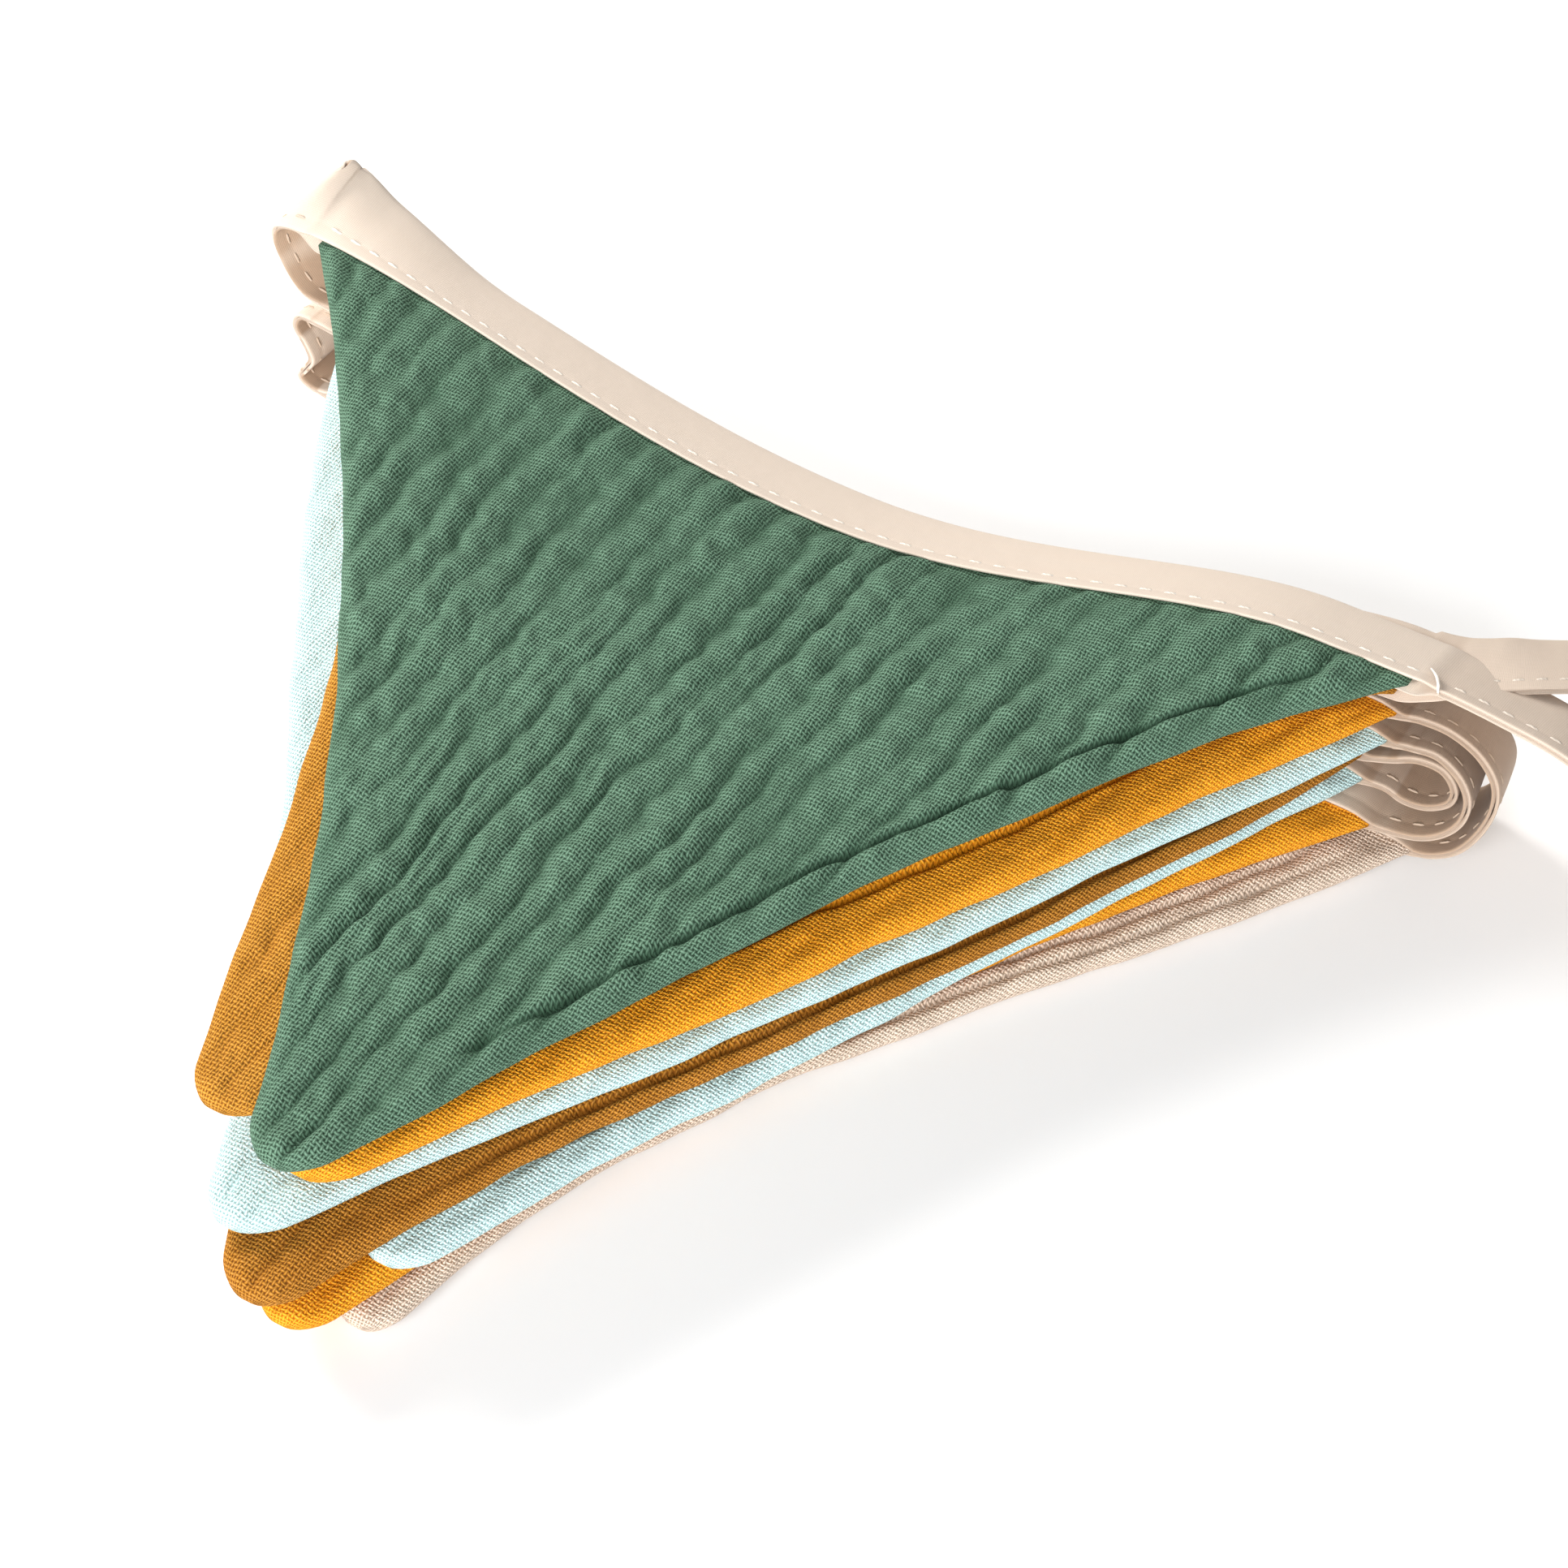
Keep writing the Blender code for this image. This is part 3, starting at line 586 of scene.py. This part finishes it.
# Finished width, depth of the pocket and of the fold at its bottom, how far the tape runs past a
# flag's corner, half the thickness of a loop, and the line of stitches from the open edge
TAPE_WIDTH = 12 * MM
POCKET_DEPTH = 7.4 * MM
SEAT_DEPTH = POCKET_DEPTH + 0.9 * MM
CORNER_REACH = 0.4 * MM
LOOP_HALF_THICKNESS = 0.5 * MM
STITCH_LINE = 2.0 * MM

# Order in which the tape passes the flags, what it holds on a loop and on a free end, and the
# stations along each flag and between two points of a curve
TAPE_ORDER = (1, 4, 7, 6, 5, 8, 3, 2)
LOOP = 0
FREE_END = -1
RUN_STATIONS = 130
CURVE_STEPS = 7

# The pocket starts to close a little inside a flag's corner, on the top flag at the corner
# itself, and it closes slowly at the second free end
SEATED_FROM = 3.0 * MM
POCKET_CLOSE = 4.5 * MM
TOP_POCKET_CLOSE = 3.5 * MM
SECOND_POCKET_CLOSE = 12 * MM

# The far edge rises along the top flag's left end, more at its very corner, and at the right end
# of flag 2; each rise comes with the two x between which it grows
TOP_CORNER_LIFT = 2.2 * MM
TOP_LIFT_SPAN = (-80 * MM, -55 * MM)
CORNER_RISE = 1.6 * MM
CORNER_RISE_SPAN = (-76 * MM, -70 * MM)
SECOND_TAPE_LIFT = 3.0 * MM
SECOND_LIFT_SPAN = (52 * MM, 73 * MM)

# Shade painted into the loops: how far along a flag it fades, how much of it free ends have and
# between which x it grows on the second; on a loop's outside, its share at the left end, how much
# more there is at the right and between which x; and the curvatures per metre of the painted
# shade's darkening inside
SHADE_FADE = 10 * MM
TOP_SHADE_FADE = 5 * MM
FREE_END_SHADE = 0.40
SECOND_SHADE_SPAN = (60 * MM, 74 * MM)
OUTSIDE_SHADE = 0.1
MORE_AT_RIGHT = 0.55
RIGHT_SPAN = (-20 * MM, 20 * MM)
INSIDE_BENDS = (-20, 60)

# One row a loop: the flags that it joins, how much it narrows towards its far edge in reach and
# in height, and the points (x, z in mm) that its near edge passes between the two flags
LOOP_COLUMNS = ("upper", "lower", "far_reach", "cone", "points")
LOOP_ROWS = (
    (1, 4, 0.30, -0.17, ((-78.7, 27.7), (-81.7, 26.9), (-82.5, 24.7), (-81.7, 21.6),
                         (-80.0, 18.3), (-77.7, 16.6))),
    (2, 3, 0.50, 0.00, ((-73.3, 22.6), (-73.7, 21.4), (-73.3, 20.2))),
    (5, 8, 0.80, 0.00, ((-76.9, 13.2), (-79.3, 13.3), (-80.1, 11.4), (-78.7, 8.9), (-77.9, 6.6),
                        (-79.0, 4.6), (-79.9, 3.0), (-78.4, 1.9))),
    (6, 7, 0.90, 0.00, ((-72.3, 8.7), (-72.8, 7.15), (-72.3, 5.6))),
    (3, 8, 0.84, 0.12, ((77.4, 20.5), (81.2, 20.9), (85.0, 19.5), (87.6, 16.5), (88.2, 12.6),
                        (87.3, 8.2), (85.4, 4.3), (82.9, 2.3))),
    (4, 7, 0.84, 0.10, ((77.2, 17.2), (80.6, 18.1), (83.7, 16.6), (85.4, 13.8), (85.2, 10.4),
                        (83.3, 7.5), (80.2, 5.8))),
    (5, 6, 0.84, 0.08, ((75.0, 13.8), (78.2, 15.6), (81.4, 15.6), (83.2, 13.3), (82.9, 10.6),
                        (80.4, 8.5), (77.6, 8.1), (75.2, 9.0))),
)
LOOPS = [dict(zip(LOOP_COLUMNS, row)) for row in LOOP_ROWS]

# The free ends, from a flag's right corner on: points of the near edge (x, drift in y, z in mm)
# and how far the far edge lies below it there
TAIL_COLUMNS = ("flag", "points")
TAIL_ROWS = (
    (1, ((79.0, -0.2, 27.6, 4.5), (86.7, -0.6, 27.2, 4.5), (95.0, -1.4, 26.4, 4.7),
         (103.5, -2.4, 23.2, 4.2), (111.0, -3.6, 16.8, 3.2), (117.5, -5.0, 9.6, 2.0),
         (124.0, -6.6, 4.2, 0.9), (132.0, -8.6, 1.5, 0.2), (142.0, -11.0, 0.8, 0.0),
         (152.0, -13.0, 0.8, 0.0))),
    (2, ((77.0, 0.6, 23.6, 1.5), (80.0, 1.6, 24.4, 2.1), (84.5, 4.0, 25.0, 3.0),
         (89.5, 7.4, 24.9, 3.9), (97.0, 13.0, 23.2, 3.8), (104.5, 18.2, 18.6, 2.6),
         (111.0, 23.0, 11.6, 1.4), (117.5, 27.6, 5.2, 0.6), (125.0, 32.6, 1.8, 0.1),
         (133.0, 38.2, 0.8, 0.0), (141.0, 43.0, 0.8, 0.0))),
)
TAILS = [dict(zip(TAIL_COLUMNS, row)) for row in TAIL_ROWS]
TAIL_TURN_RUN = 22 * MM

# The tape's section, from its near edge over the top to the fold: how far from the near edge in
# mm, share of the half thickness, and how far below that in mm. The line of stitches pulls it in
SECTION_ROWS = (
    (0.00, 1.0, 0.20), (0.04, 1.0, 0.09), (0.14, 1.0, 0.01), (0.50, 1.0, 0.00), (1.20, 1.0, 0.00),
    (1.60, 1.0, 0.02), (1.85, 1.0, 0.06), (2.15, 1.0, 0.06), (2.40, 1.0, 0.02), (2.90, 1.0, 0.00),
    (4.50, 1.0, -0.04), (7.00, 1.0, -0.05), (9.60, 1.0, -0.02), (10.80, 0.97, 0.0),
    (11.40, 0.86, 0.0), (11.80, 0.62, 0.0), (11.95, 0.33, 0.0),
)


def spline(points, steps):
    """Points of a Catmull-Rom curve through all but the first and last of the given points."""
    points = np.asarray(points, float)
    a, b, c, d = points[:-3, None], points[1:-2, None], points[2:-1, None], points[3:, None]
    t = (np.arange(steps) / steps)[None, :, None]
    curve = 0.5 * (2 * b + (c - a) * t + (2 * a - 5 * b + 4 * c - d) * t ** 2
                   + (3 * b - a - 3 * c + d) * t ** 3)
    return np.vstack([curve.reshape(-1, points.shape[1]), points[-2]])


def layer_middle(number, x, y):
    """Height of the middle of a flag's layer under the tape."""
    return stack_height(x, y) * (LAYERS + 0.5 - number) / LAYERS


def run_edges(number, rightwards):
    """Near and far edge of the tape along one flag, in the direction in which it travels. The
    near edge sags with the heading; the far edge lies square to x, falling with the stack."""
    left, right, _ = flag_corners(FLAGS[number - 1])
    x = np.linspace(left[0] - CORNER_REACH, right[0] + CORNER_REACH, RUN_STATIONS)
    x = x if rightwards else x[::-1]
    along = (x - left[0]) / (right[0] - left[0])
    y = left[1] + (right[1] - left[1]) * along - HEADING_SAG * sag(x)
    near = np.stack([x, y, layer_middle(number, x, y)], axis=1)
    rise = layer_middle(number, x, y + TAPE_WIDTH) - near[:, 2]
    far = near.copy()
    far[:, 1] += TAPE_WIDTH / np.sqrt(1 + (rise / TAPE_WIDTH) ** 2)
    far[:, 2] = layer_middle(number, x, far[:, 1])
    if number == 1:
        far[:, 2] += TOP_CORNER_LIFT * (1 - smooth(*TOP_LIFT_SPAN, x))
        far[:, 2] += CORNER_RISE * (1 - smooth(*CORNER_RISE_SPAN, x))
    if number == 2:
        far[:, 2] += SECOND_TAPE_LIFT * smooth(*SECOND_LIFT_SPAN, x)
    return near, far


def loop_edges(start, end, near_start, near_end, far_start, far_end):
    """Near and far edge of the loop between two flags: the near edge follows the table's points,
    and the far edge is the same curve with less reach and its own height."""
    row = next(r for r in LOOPS if {r["upper"], r["lower"]} == {start, end})
    points = np.array(row["points"]) * MM
    if start == row["lower"]:
        points = points[::-1]
    lead = np.array([np.sign(near_start[0]) * 3 * MM, 0])
    ends = near_start[[0, 2]], near_end[[0, 2]]
    curve = spline(np.vstack([ends[0] - lead, ends[0], points, ends[1], ends[1] - lead]),
                   CURVE_STEPS)[1:-1]
    along = (np.arange(len(curve)) + 1)[:, None] / (len(curve) + 1)
    base_near = near_start + (near_end - near_start) * along
    base_far = far_start + (far_end - far_start) * along
    near = np.stack([curve[:, 0], base_near[:, 1], curve[:, 1]], axis=1)
    lower = (far_start[2] / near_start[2]) + (far_end[2] / near_end[2]
                                              - far_start[2] / near_start[2]) * along[:, 0]
    lower = lower * (1 - row["cone"] * np.sin(np.pi * along[:, 0]))
    far = near.copy()
    far[:, 0] = base_far[:, 0] + (near[:, 0] - base_near[:, 0]) * row["far_reach"]
    far[:, 2] = near[:, 2] * lower
    sideways = np.sum((far - near)[:, [0, 2]] ** 2, axis=1)
    far[:, 1] = near[:, 1] + np.sqrt(np.maximum(TAPE_WIDTH ** 2 - sideways, 0))
    return near, far


def tail_edges(row, near_start, far_start):
    """Near and far edge of a free end: the near edge follows the table's points down to the
    surface, and the far edge lies square to it, lower by the table's fall."""
    points = np.array(row["points"]) * MM
    points[:, 1] += near_start[1]
    start = np.append(near_start, near_start[2] - far_start[2])
    lead = np.array([4 * MM, 0, 0, 0])
    last = points[-1] + (points[-1] - points[-2])
    path = spline(np.vstack([start - lead, start, points, last]), CURVE_STEPS)[1:]
    near, fall = path[:, :3], path[:, 3]
    heading = np.gradient(np.vstack([near_start, near]), axis=0)[1:]
    run = near[:, 0] - near_start[0]
    turn = np.arctan2(heading[:, 1], heading[:, 0]) * smooth(0, TAIL_TURN_RUN, run)
    square = np.stack([-np.sin(turn), np.cos(turn)], axis=1)
    far = near.copy()
    far[:, :2] += square * np.sqrt(TAPE_WIDTH ** 2 - fall ** 2)[:, None]
    far[:, 2] -= fall
    return near, far


def tape_route():
    """The whole tape from one free end to the other: its near and far edge, the flag that it
    holds at each station (or LOOP or FREE_END), the way travelled along the near edge, and how
    far the pocket stands open: it closes with a smooth step at a flag's corner."""
    parts = []

    def add(near, far, flag_number):
        parts.append((near, far, np.full(len(near), flag_number)))

    runs = {number: run_edges(number, rightwards=step % 2 == 1)
            for step, number in enumerate(TAPE_ORDER)}
    first, last = TAPE_ORDER[0], TAPE_ORDER[-1]
    near, far = tail_edges(TAILS[0], runs[first][0][0], runs[first][1][0])
    add(near[::-1], far[::-1], FREE_END)
    for number, following in zip(TAPE_ORDER, TAPE_ORDER[1:] + (None,)):
        add(*runs[number], number)
        if following:
            add(*loop_edges(number, following, runs[number][0][-1], runs[following][0][0],
                            runs[number][1][-1], runs[following][1][0]), LOOP)
    add(*tail_edges(TAILS[1], runs[last][0][-1], runs[last][1][-1]), FREE_END)
    near, far, holds = (np.concatenate(column) for column in zip(*parts))
    travel = np.concatenate([[0], np.cumsum(np.linalg.norm(np.diff(near, axis=0), axis=1))])

    def open_near(held, closes_within):
        away = np.min(np.abs(travel[:, None] - travel[held][None, :]), axis=1)
        return 1 - smooth(0, closes_within, away)

    from_free = np.min(np.abs(travel[:, None] - travel[holds <= 0][None, :]), axis=1)
    seated = (holds > 1) & (from_free > SEATED_FROM)
    opened = np.maximum(open_near(seated, POCKET_CLOSE), open_near(holds == 1, TOP_POCKET_CLOSE))
    second_end = (near[:, 0] > 0) & ((holds == last) | (holds == FREE_END))
    slow = open_near(seated & (holds == last), SECOND_POCKET_CLOSE) * second_end
    opened = np.maximum(opened, slow)
    return near, far, holds, travel, opened


def loop_share(holds, travel, opened, near_x):
    """Share of shade painted on the tape at each station: 1 on loops, fading along a flag, nothing
    on the top flag and a little on the free ends."""

    def away_from(chosen):
        return np.min(np.abs(travel[:, None] - travel[chosen][None, :]), axis=1)

    painted_loop_shade = 1 - smooth(0, SHADE_FADE, away_from(holds == LOOP))
    painted_loop_shade = painted_loop_shade * smooth(0, TOP_SHADE_FADE, away_from(holds == 1))
    past_flags = (1 - opened) * (holds == FREE_END)
    second_end = ((holds == TAPE_ORDER[-1]) | (holds == FREE_END)) & (travel > travel[-1] / 2)
    beside_flags = smooth(*SECOND_SHADE_SPAN, near_x) * second_end
    return np.maximum(painted_loop_shade, FREE_END_SHADE * np.maximum(past_flags, beside_flags))


def tape_frame(near, far, opened, share):
    """Points across the tape at shares of its width, the way its upper side faces there, and half
    its thickness: upright and as thick as the layer on a flag, square and thin on a loop."""
    point = near[:, None] + (far - near)[:, None] * share[None, :, None]
    square = np.cross(np.gradient(point, axis=0), (far - near)[:, None] + np.zeros_like(point))
    square /= np.linalg.norm(square, axis=2)[:, :, None]
    upright = np.zeros_like(square)
    upright[:, :, 2] = np.sign(square[:, :, 2])
    facing = square + (upright - square) * opened[:, None, None]
    on_layer = stack_height(point[:, :, 0], point[:, :, 1]) / (2 * LAYERS) - TAPE_GAP / 2
    half = LOOP_HALF_THICKNESS + (on_layer - LOOP_HALF_THICKNESS) * opened[:, None]
    return point, facing, half


def tape_arrays(near, far, travel, opened, painted_loop_shade):
    """Points, faces and corner places of the tape, and the shade painted on each point in a loop:
    its section carried along the route. The section goes over the top, round the fold, back under
    it, and round inside the pocket. The painted shade is fullest on the side of a loop that its
    curvature faces."""
    from_edge, part, inset = np.array(SECTION_ROWS).T
    fold = np.array([TAPE_WIDTH / MM])
    pocket = np.array([0.04, POCKET_DEPTH / MM, SEAT_DEPTH / MM, POCKET_DEPTH / MM, 0.04])
    place = np.concatenate([from_edge, fold, from_edge[::-1], pocket])
    outer_part = np.concatenate([part, [0], -part[::-1]])
    outer_inset = np.concatenate([inset, [0], -inset[::-1]]) * MM
    pocket_side = np.array([-1, -1, 0, 1, 1])
    point, facing, half = tape_frame(near, far, opened, place * MM / TAPE_WIDTH)
    outside = len(outer_part)
    leaf = LOOP_HALF_THICKNESS - CLEAR / 4
    leaf = leaf + (LEAF - leaf) * opened[:, None]
    offset = np.hstack([half[:, :outside] * outer_part - outer_inset,
                        (half[:, outside:] - leaf) * pocket_side])
    ring = point + facing * offset[:, :, None]
    around = np.concatenate([from_edge, fold, 2 * fold - from_edge[::-1], pocket + 3 * fold])
    map_mm = np.stack(np.broadcast_arrays(travel[:, None] / MM, around[None, :]), axis=2)

    # Painted shade: full on the inside of a loop's bend, and a share of it on the outside that
    # grows to the right
    curl = np.gradient(np.gradient(point, travel, axis=0), travel, axis=0)
    bend = np.sum(curl * facing, axis=2) * np.hstack([np.sign(outer_part), 0 * pocket_side])
    outer_shade = OUTSIDE_SHADE + MORE_AT_RIGHT * smooth(*RIGHT_SPAN, point[:, :, 0])
    shade = (outer_shade + (1 - outer_shade) * smooth(*INSIDE_BENDS, bend)) * painted_loop_shade[:, None]

    stations, places = ring.shape[:2]
    index = np.arange(stations * places).reshape(stations, places)
    turned = np.roll(index, -1, axis=1)
    walls = np.stack([index[:-1], index[1:], turned[1:], turned[:-1]], axis=2).reshape(-1, 4)
    corner_places = map_mm.reshape(-1, 2)[walls].reshape(-1, 2)
    return ring.reshape(-1, 3), walls, corner_places, shade.ravel(), index


def close_ends(piece, index):
    """Closes both cut ends of the tape: the leaves' cut edges and the pocket between them."""
    body = bmesh.new()
    body.from_mesh(piece.data)
    body.verts.ensure_lookup_table()
    for end, flip in ((index[0], False), (index[-1], True)):
        corners = [body.verts[int(i)] for i in (end[::-1] if flip else end)]
        cap = body.faces.new(corners)
        cap.smooth = False
        bmesh.ops.triangulate(body, faces=[cap])
    body.to_mesh(piece.data)
    body.free()


# Cotton tape: its colour, the warmer one of its slubs and the colour of the shade painted inside
# a loop, with the share of that at most; thread spacing, and the distance and strength of its
# bumps
TAPE_COLOUR = (0.740, 0.625, 0.525)
SLUB_COLOUR = (0.70, 0.565, 0.445, 1)
LOOP_PAINTED_SHADE_COLOUR = (0.36, 0.235, 0.15, 1)
PAINTED_SHADE_AT_MOST = 0.85
TAPE_WEAVE_MM = 0.24
TAPE_BUMP = 0.00005
TAPE_BUMP_STRENGTH = 0.6


def tape_cotton():
    """Smooth fine cotton: a close weave, faint slubs along the tape, a soft crease and shade
    painted inside its loops.
    """
    cloth = Recipe("tape_cotton")
    threads, place = cloth.weave(TAPE_WEAVE_MM, TAPE_WEAVE_MM, wander=0.12, uneven=0.5,
                                 thinness=0.8)
    base = (*TAPE_COLOUR, 1)
    gap = (*(0.82 * c for c in TAPE_COLOUR), 1)
    woven = cloth.mix(threads, gap, base)
    slub = cloth.stretched(place, 0.05, 0.6)
    woven = cloth.mix(cloth.math("MULTIPLY", slub, 0.35), woven, SLUB_COLOUR)
    # Painted shade inside loops and on the free ends, as the mesh's attribute says
    woven = cloth.mix(cloth.depth(PAINTED_SHADE_AT_MOST), woven, LOOP_PAINTED_SHADE_COLOUR)
    soft = cloth.math("MULTIPLY", cloth.noise(place, 0.22), 4.0)
    raised = cloth.math("ADD", threads, soft)
    return cloth.surface(woven, raised, TAPE_BUMP, TAPE_BUMP_STRENGTH, Roughness=0.85,
                         Specular_IOR_Level=0.25, Sheen_Weight=0.12, Sheen_Roughness=0.5)


tape_near, tape_far, tape_holds, tape_travel, tape_opened = tape_route()
# Shade painted on the tape in and near its loops and on its free ends
tape_painted_shade = loop_share(tape_holds, tape_travel, tape_opened, tape_near[:, 0])
points, faces, places, painted_shade, tape_index = tape_arrays(tape_near, tape_far, tape_travel,
                                                      tape_opened, tape_painted_shade)
tape = cloth_object("tape_cloth", points, faces, places, tape_cotton(), painted_shade)
close_ends(tape, tape_index)
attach(tape, "root")
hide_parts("tape")

# ---------------------------------------------------------------------------------------------
# Stitches
#
# One line of machine stitches in cream thread, two millimetres from the tape's open edge, closes
# it over the flags. It shows on top of the stack, below it, and on both sides of loops and ends.
# A loose end of thread lies over the tape at the top flag's right corner.

# A stitch's spacing, length and radius, how far its ends sink in, how far its line is pulled in,
# its colour and the colour of the shade painted on it inside a loop. The loose end's path and
# radius. The thread's twist and bumps, and the corners of its rings
STITCH_PITCH = 3.0 * MM
STITCH_LENGTH = 2.2 * MM
STITCH_RADIUS = 0.19 * MM
STITCH_SINK = 0.30 * MM
STITCH_GROOVE = 0.06 * MM
STITCH_COLOUR = (0.86, 0.79, 0.70)
STITCH_PAINTED_SHADE_COLOUR = (0.46, 0.33, 0.23, 1)
LOOSE_END_MM = np.array([(79.0, 39.1, 27.7), (78.6, 39.9, 28.4), (78.1, 40.8, 28.3),
                         (77.4, 41.7, 28.0), (76.8, 42.3, 27.7)])
LOOSE_END_RADIUS = 0.24 * MM
THREAD_TWIST = 900.0
THREAD_BUMP = 0.00003
THREAD_TURNS = np.arange(6) * np.pi / 3


def tube_arrays(ring):
    """Points and faces of tubes, open at both ends, from their rings' points by tube, ring and
    corner."""
    count, steps, corners = ring.shape[:3]
    index = np.arange(count * steps * corners).reshape(count, steps, corners)
    turned = np.roll(index, -1, axis=2)
    quads = np.stack([index[:, :-1], turned[:, :-1], turned[:, 1:], index[:, 1:]], axis=3)
    return ring.reshape(-1, 3), quads.reshape(-1, 4)


def stitch_arrays(side, shown):
    """Points, faces and painted loop shade of the stitches on one side of the tape. Each is a bead
    of six-sided rings along the route, thinner and sunk at its ends. shown tells where along the
    route they show."""
    starts = np.arange(STITCH_PITCH, tape_travel[-1] - STITCH_PITCH, STITCH_PITCH)
    starts = starts[np.interp(starts, tape_travel, shown.astype(float)) > 0.99]
    along = np.linspace(-1, 1, 5)
    at = starts[:, None] + along[None, :] * STITCH_LENGTH / 2
    share = np.array([STITCH_LINE / TAPE_WIDTH])
    point, facing, half = tape_frame(tape_near, tape_far, tape_opened, share)
    width = (tape_far - tape_near) / TAPE_WIDTH

    def on_route(values):
        return np.stack([np.interp(at, tape_travel, values[:, i]) for i in range(3)], axis=2)

    centre, up, over = on_route(point[:, 0]), on_route(facing[:, 0]), on_route(width)
    thick = np.interp(at, tape_travel, half[:, 0])
    lie = side * (thick - STITCH_GROOVE - STITCH_SINK * along ** 4)
    centre = centre + up * lie[..., None]
    radius = STITCH_RADIUS * np.sqrt(1 - 0.75 * along ** 4)
    ring = (centre[:, :, None]
            + radius[None, :, None, None] * (np.cos(THREAD_TURNS)[:, None] * over[:, :, None]
                                             + np.sin(THREAD_TURNS)[:, None] * up[:, :, None]))
    # Painted loop shade along the stitches
    painted_shade = np.interp(at, tape_travel, tape_painted_shade)[:, :, None] + np.zeros(len(THREAD_TURNS))
    return *tube_arrays(ring), painted_shade.ravel()


def loose_end(path_mm, radius):
    """Points, faces and painted shade, which is nought, of a loose thread: six-sided rings
    along a path, square to y, that thin out to about half the radius at both ends."""
    path = spline(np.vstack([path_mm[:1], path_mm, path_mm[-1:]]) * MM, 4)
    taper = np.sin(np.pi * np.linspace(0.04, 0.96, len(path))) ** 0.3
    across = np.stack([np.cos(THREAD_TURNS), 0 * THREAD_TURNS, np.sin(THREAD_TURNS)], axis=1)
    ring = path[:, None] + radius * taper[:, None, None] * across[None]
    return *tube_arrays(ring[None]), np.zeros(ring.shape[0] * len(THREAD_TURNS))


def thread_cotton(name, colour):
    """Twisted cotton thread: fine slanting ridges from a wave texture on Object coordinates, with
    shade painted on it inside loops.
    """
    thread = Recipe(name)
    place = thread.node("ShaderNodeTexCoord").outputs["Object"]
    twist = thread.node("ShaderNodeTexWave", {"bands_direction": "DIAGONAL"}, Vector=place,
                        Scale=THREAD_TWIST, Distortion=2.0)
    dark = (*(0.8 * c for c in colour), 1)
    tint = thread.mix(twist.outputs["Fac"], dark, (*colour, 1))
    # Painted shade on stitches inside loops
    tint = thread.mix(thread.depth(PAINTED_SHADE_AT_MOST), tint, STITCH_PAINTED_SHADE_COLOUR)
    return thread.surface(tint, twist.outputs["Fac"], THREAD_BUMP, Roughness=0.7)


free = tape_opened < 0.02
stitch_sets = [stitch_arrays(1, free),
               stitch_arrays(-1, free | (tape_holds == 1) | (tape_holds == LAYERS)),
               loose_end(LOOSE_END_MM, LOOSE_END_RADIUS)]
starts = np.cumsum([0] + [len(made[0]) for made in stitch_sets])
points = np.vstack([made[0] for made in stitch_sets])
faces = np.vstack([made[1] + start for made, start in zip(stitch_sets, starts)])
# Painted loop shade of every stitch and of the loose end
painted_shade = np.concatenate([made[2] for made in stitch_sets])
stitches = cloth_object("tape_stitches", points, faces, np.zeros((faces.size, 2)),
                        thread_cotton("stitch_thread", STITCH_COLOUR), painted_shade)
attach(stitches, "root")

# ---------------------------------------------------------------------------------------------
# Floor, light and camera
#
# A plain pale floor just under the stack, a soft light from the left, another from the front
# and a bright surround. The camera looks down from the right front.

FLOOR_COLOUR = (0.92, 0.92, 0.92, 1)
FLOOR_SIZE = 3.0
FLOOR_Z = -0.0002
LIT_POINT = (0, 0, 0.015)
SURROUND_STRENGTH = 0.36
CAMERA_PLACE = (0.15213, -0.23949, 0.34242)
CAMERA_TARGET = (0.02114, -0.00957, 0.028)
PHOTO_WIDTH_PX = 1932
FOCAL_PX = 4550
SENSOR_MM = 36

floor_mesh = bpy.data.meshes.new("floor")
floor_mesh.from_pydata([(x * FLOOR_SIZE / 2, y * FLOOR_SIZE / 2, FLOOR_Z)
                        for x, y in ((-1, -1), (1, -1), (1, 1), (-1, 1))], [], [(0, 1, 2, 3)])
floor = bpy.data.objects.new("floor", floor_mesh)
floor_paint = Recipe("floor_pale")
floor_paint.shader.inputs["Base Color"].default_value = FLOOR_COLOUR
floor_paint.shader.inputs["Roughness"].default_value = 0.8
floor_mesh.materials.append(floor_paint.material)
bpy.context.scene.collection.objects.link(floor)


def aim(thing, place, target):
    """Puts a camera or light at a place, looking at the target, with its top up."""
    thing.location = place
    thing.rotation_euler = (Vector(target) - Vector(place)).to_track_quat("-Z", "Y").to_euler()


def soft_light(name, place, size, watts, colour):
    """A square area light that looks at the stack."""
    data = bpy.data.lights.new(name, "AREA")
    data.size = size
    data.energy = watts
    data.color = colour
    light = bpy.data.objects.new(name, data)
    bpy.context.scene.collection.objects.link(light)
    aim(light, place, LIT_POINT)


soft_light("window_light", place=(-0.74, 0.20, 0.57), size=0.5, watts=11.2,
           colour=(1.0, 0.985, 0.96))
soft_light("front_fill", place=(0.12, -0.88, 0.40), size=0.8, watts=16.0,
           colour=(0.97, 0.985, 1.0))

world = bpy.data.worlds.new("surround")
world.use_nodes = True
world.node_tree.nodes["Background"].inputs["Color"].default_value = (1, 1, 1, 1)
world.node_tree.nodes["Background"].inputs["Strength"].default_value = SURROUND_STRENGTH
bpy.context.scene.world = world
bpy.context.scene.view_settings.view_transform = "Standard"

camera_data = bpy.data.cameras.new("camera")
camera_data.sensor_width = SENSOR_MM
camera_data.lens = FOCAL_PX / PHOTO_WIDTH_PX * SENSOR_MM
camera_data.clip_start = 0.01
camera = bpy.data.objects.new("camera", camera_data)
bpy.context.scene.collection.objects.link(camera)
aim(camera, CAMERA_PLACE, CAMERA_TARGET)
bpy.context.scene.camera = camera
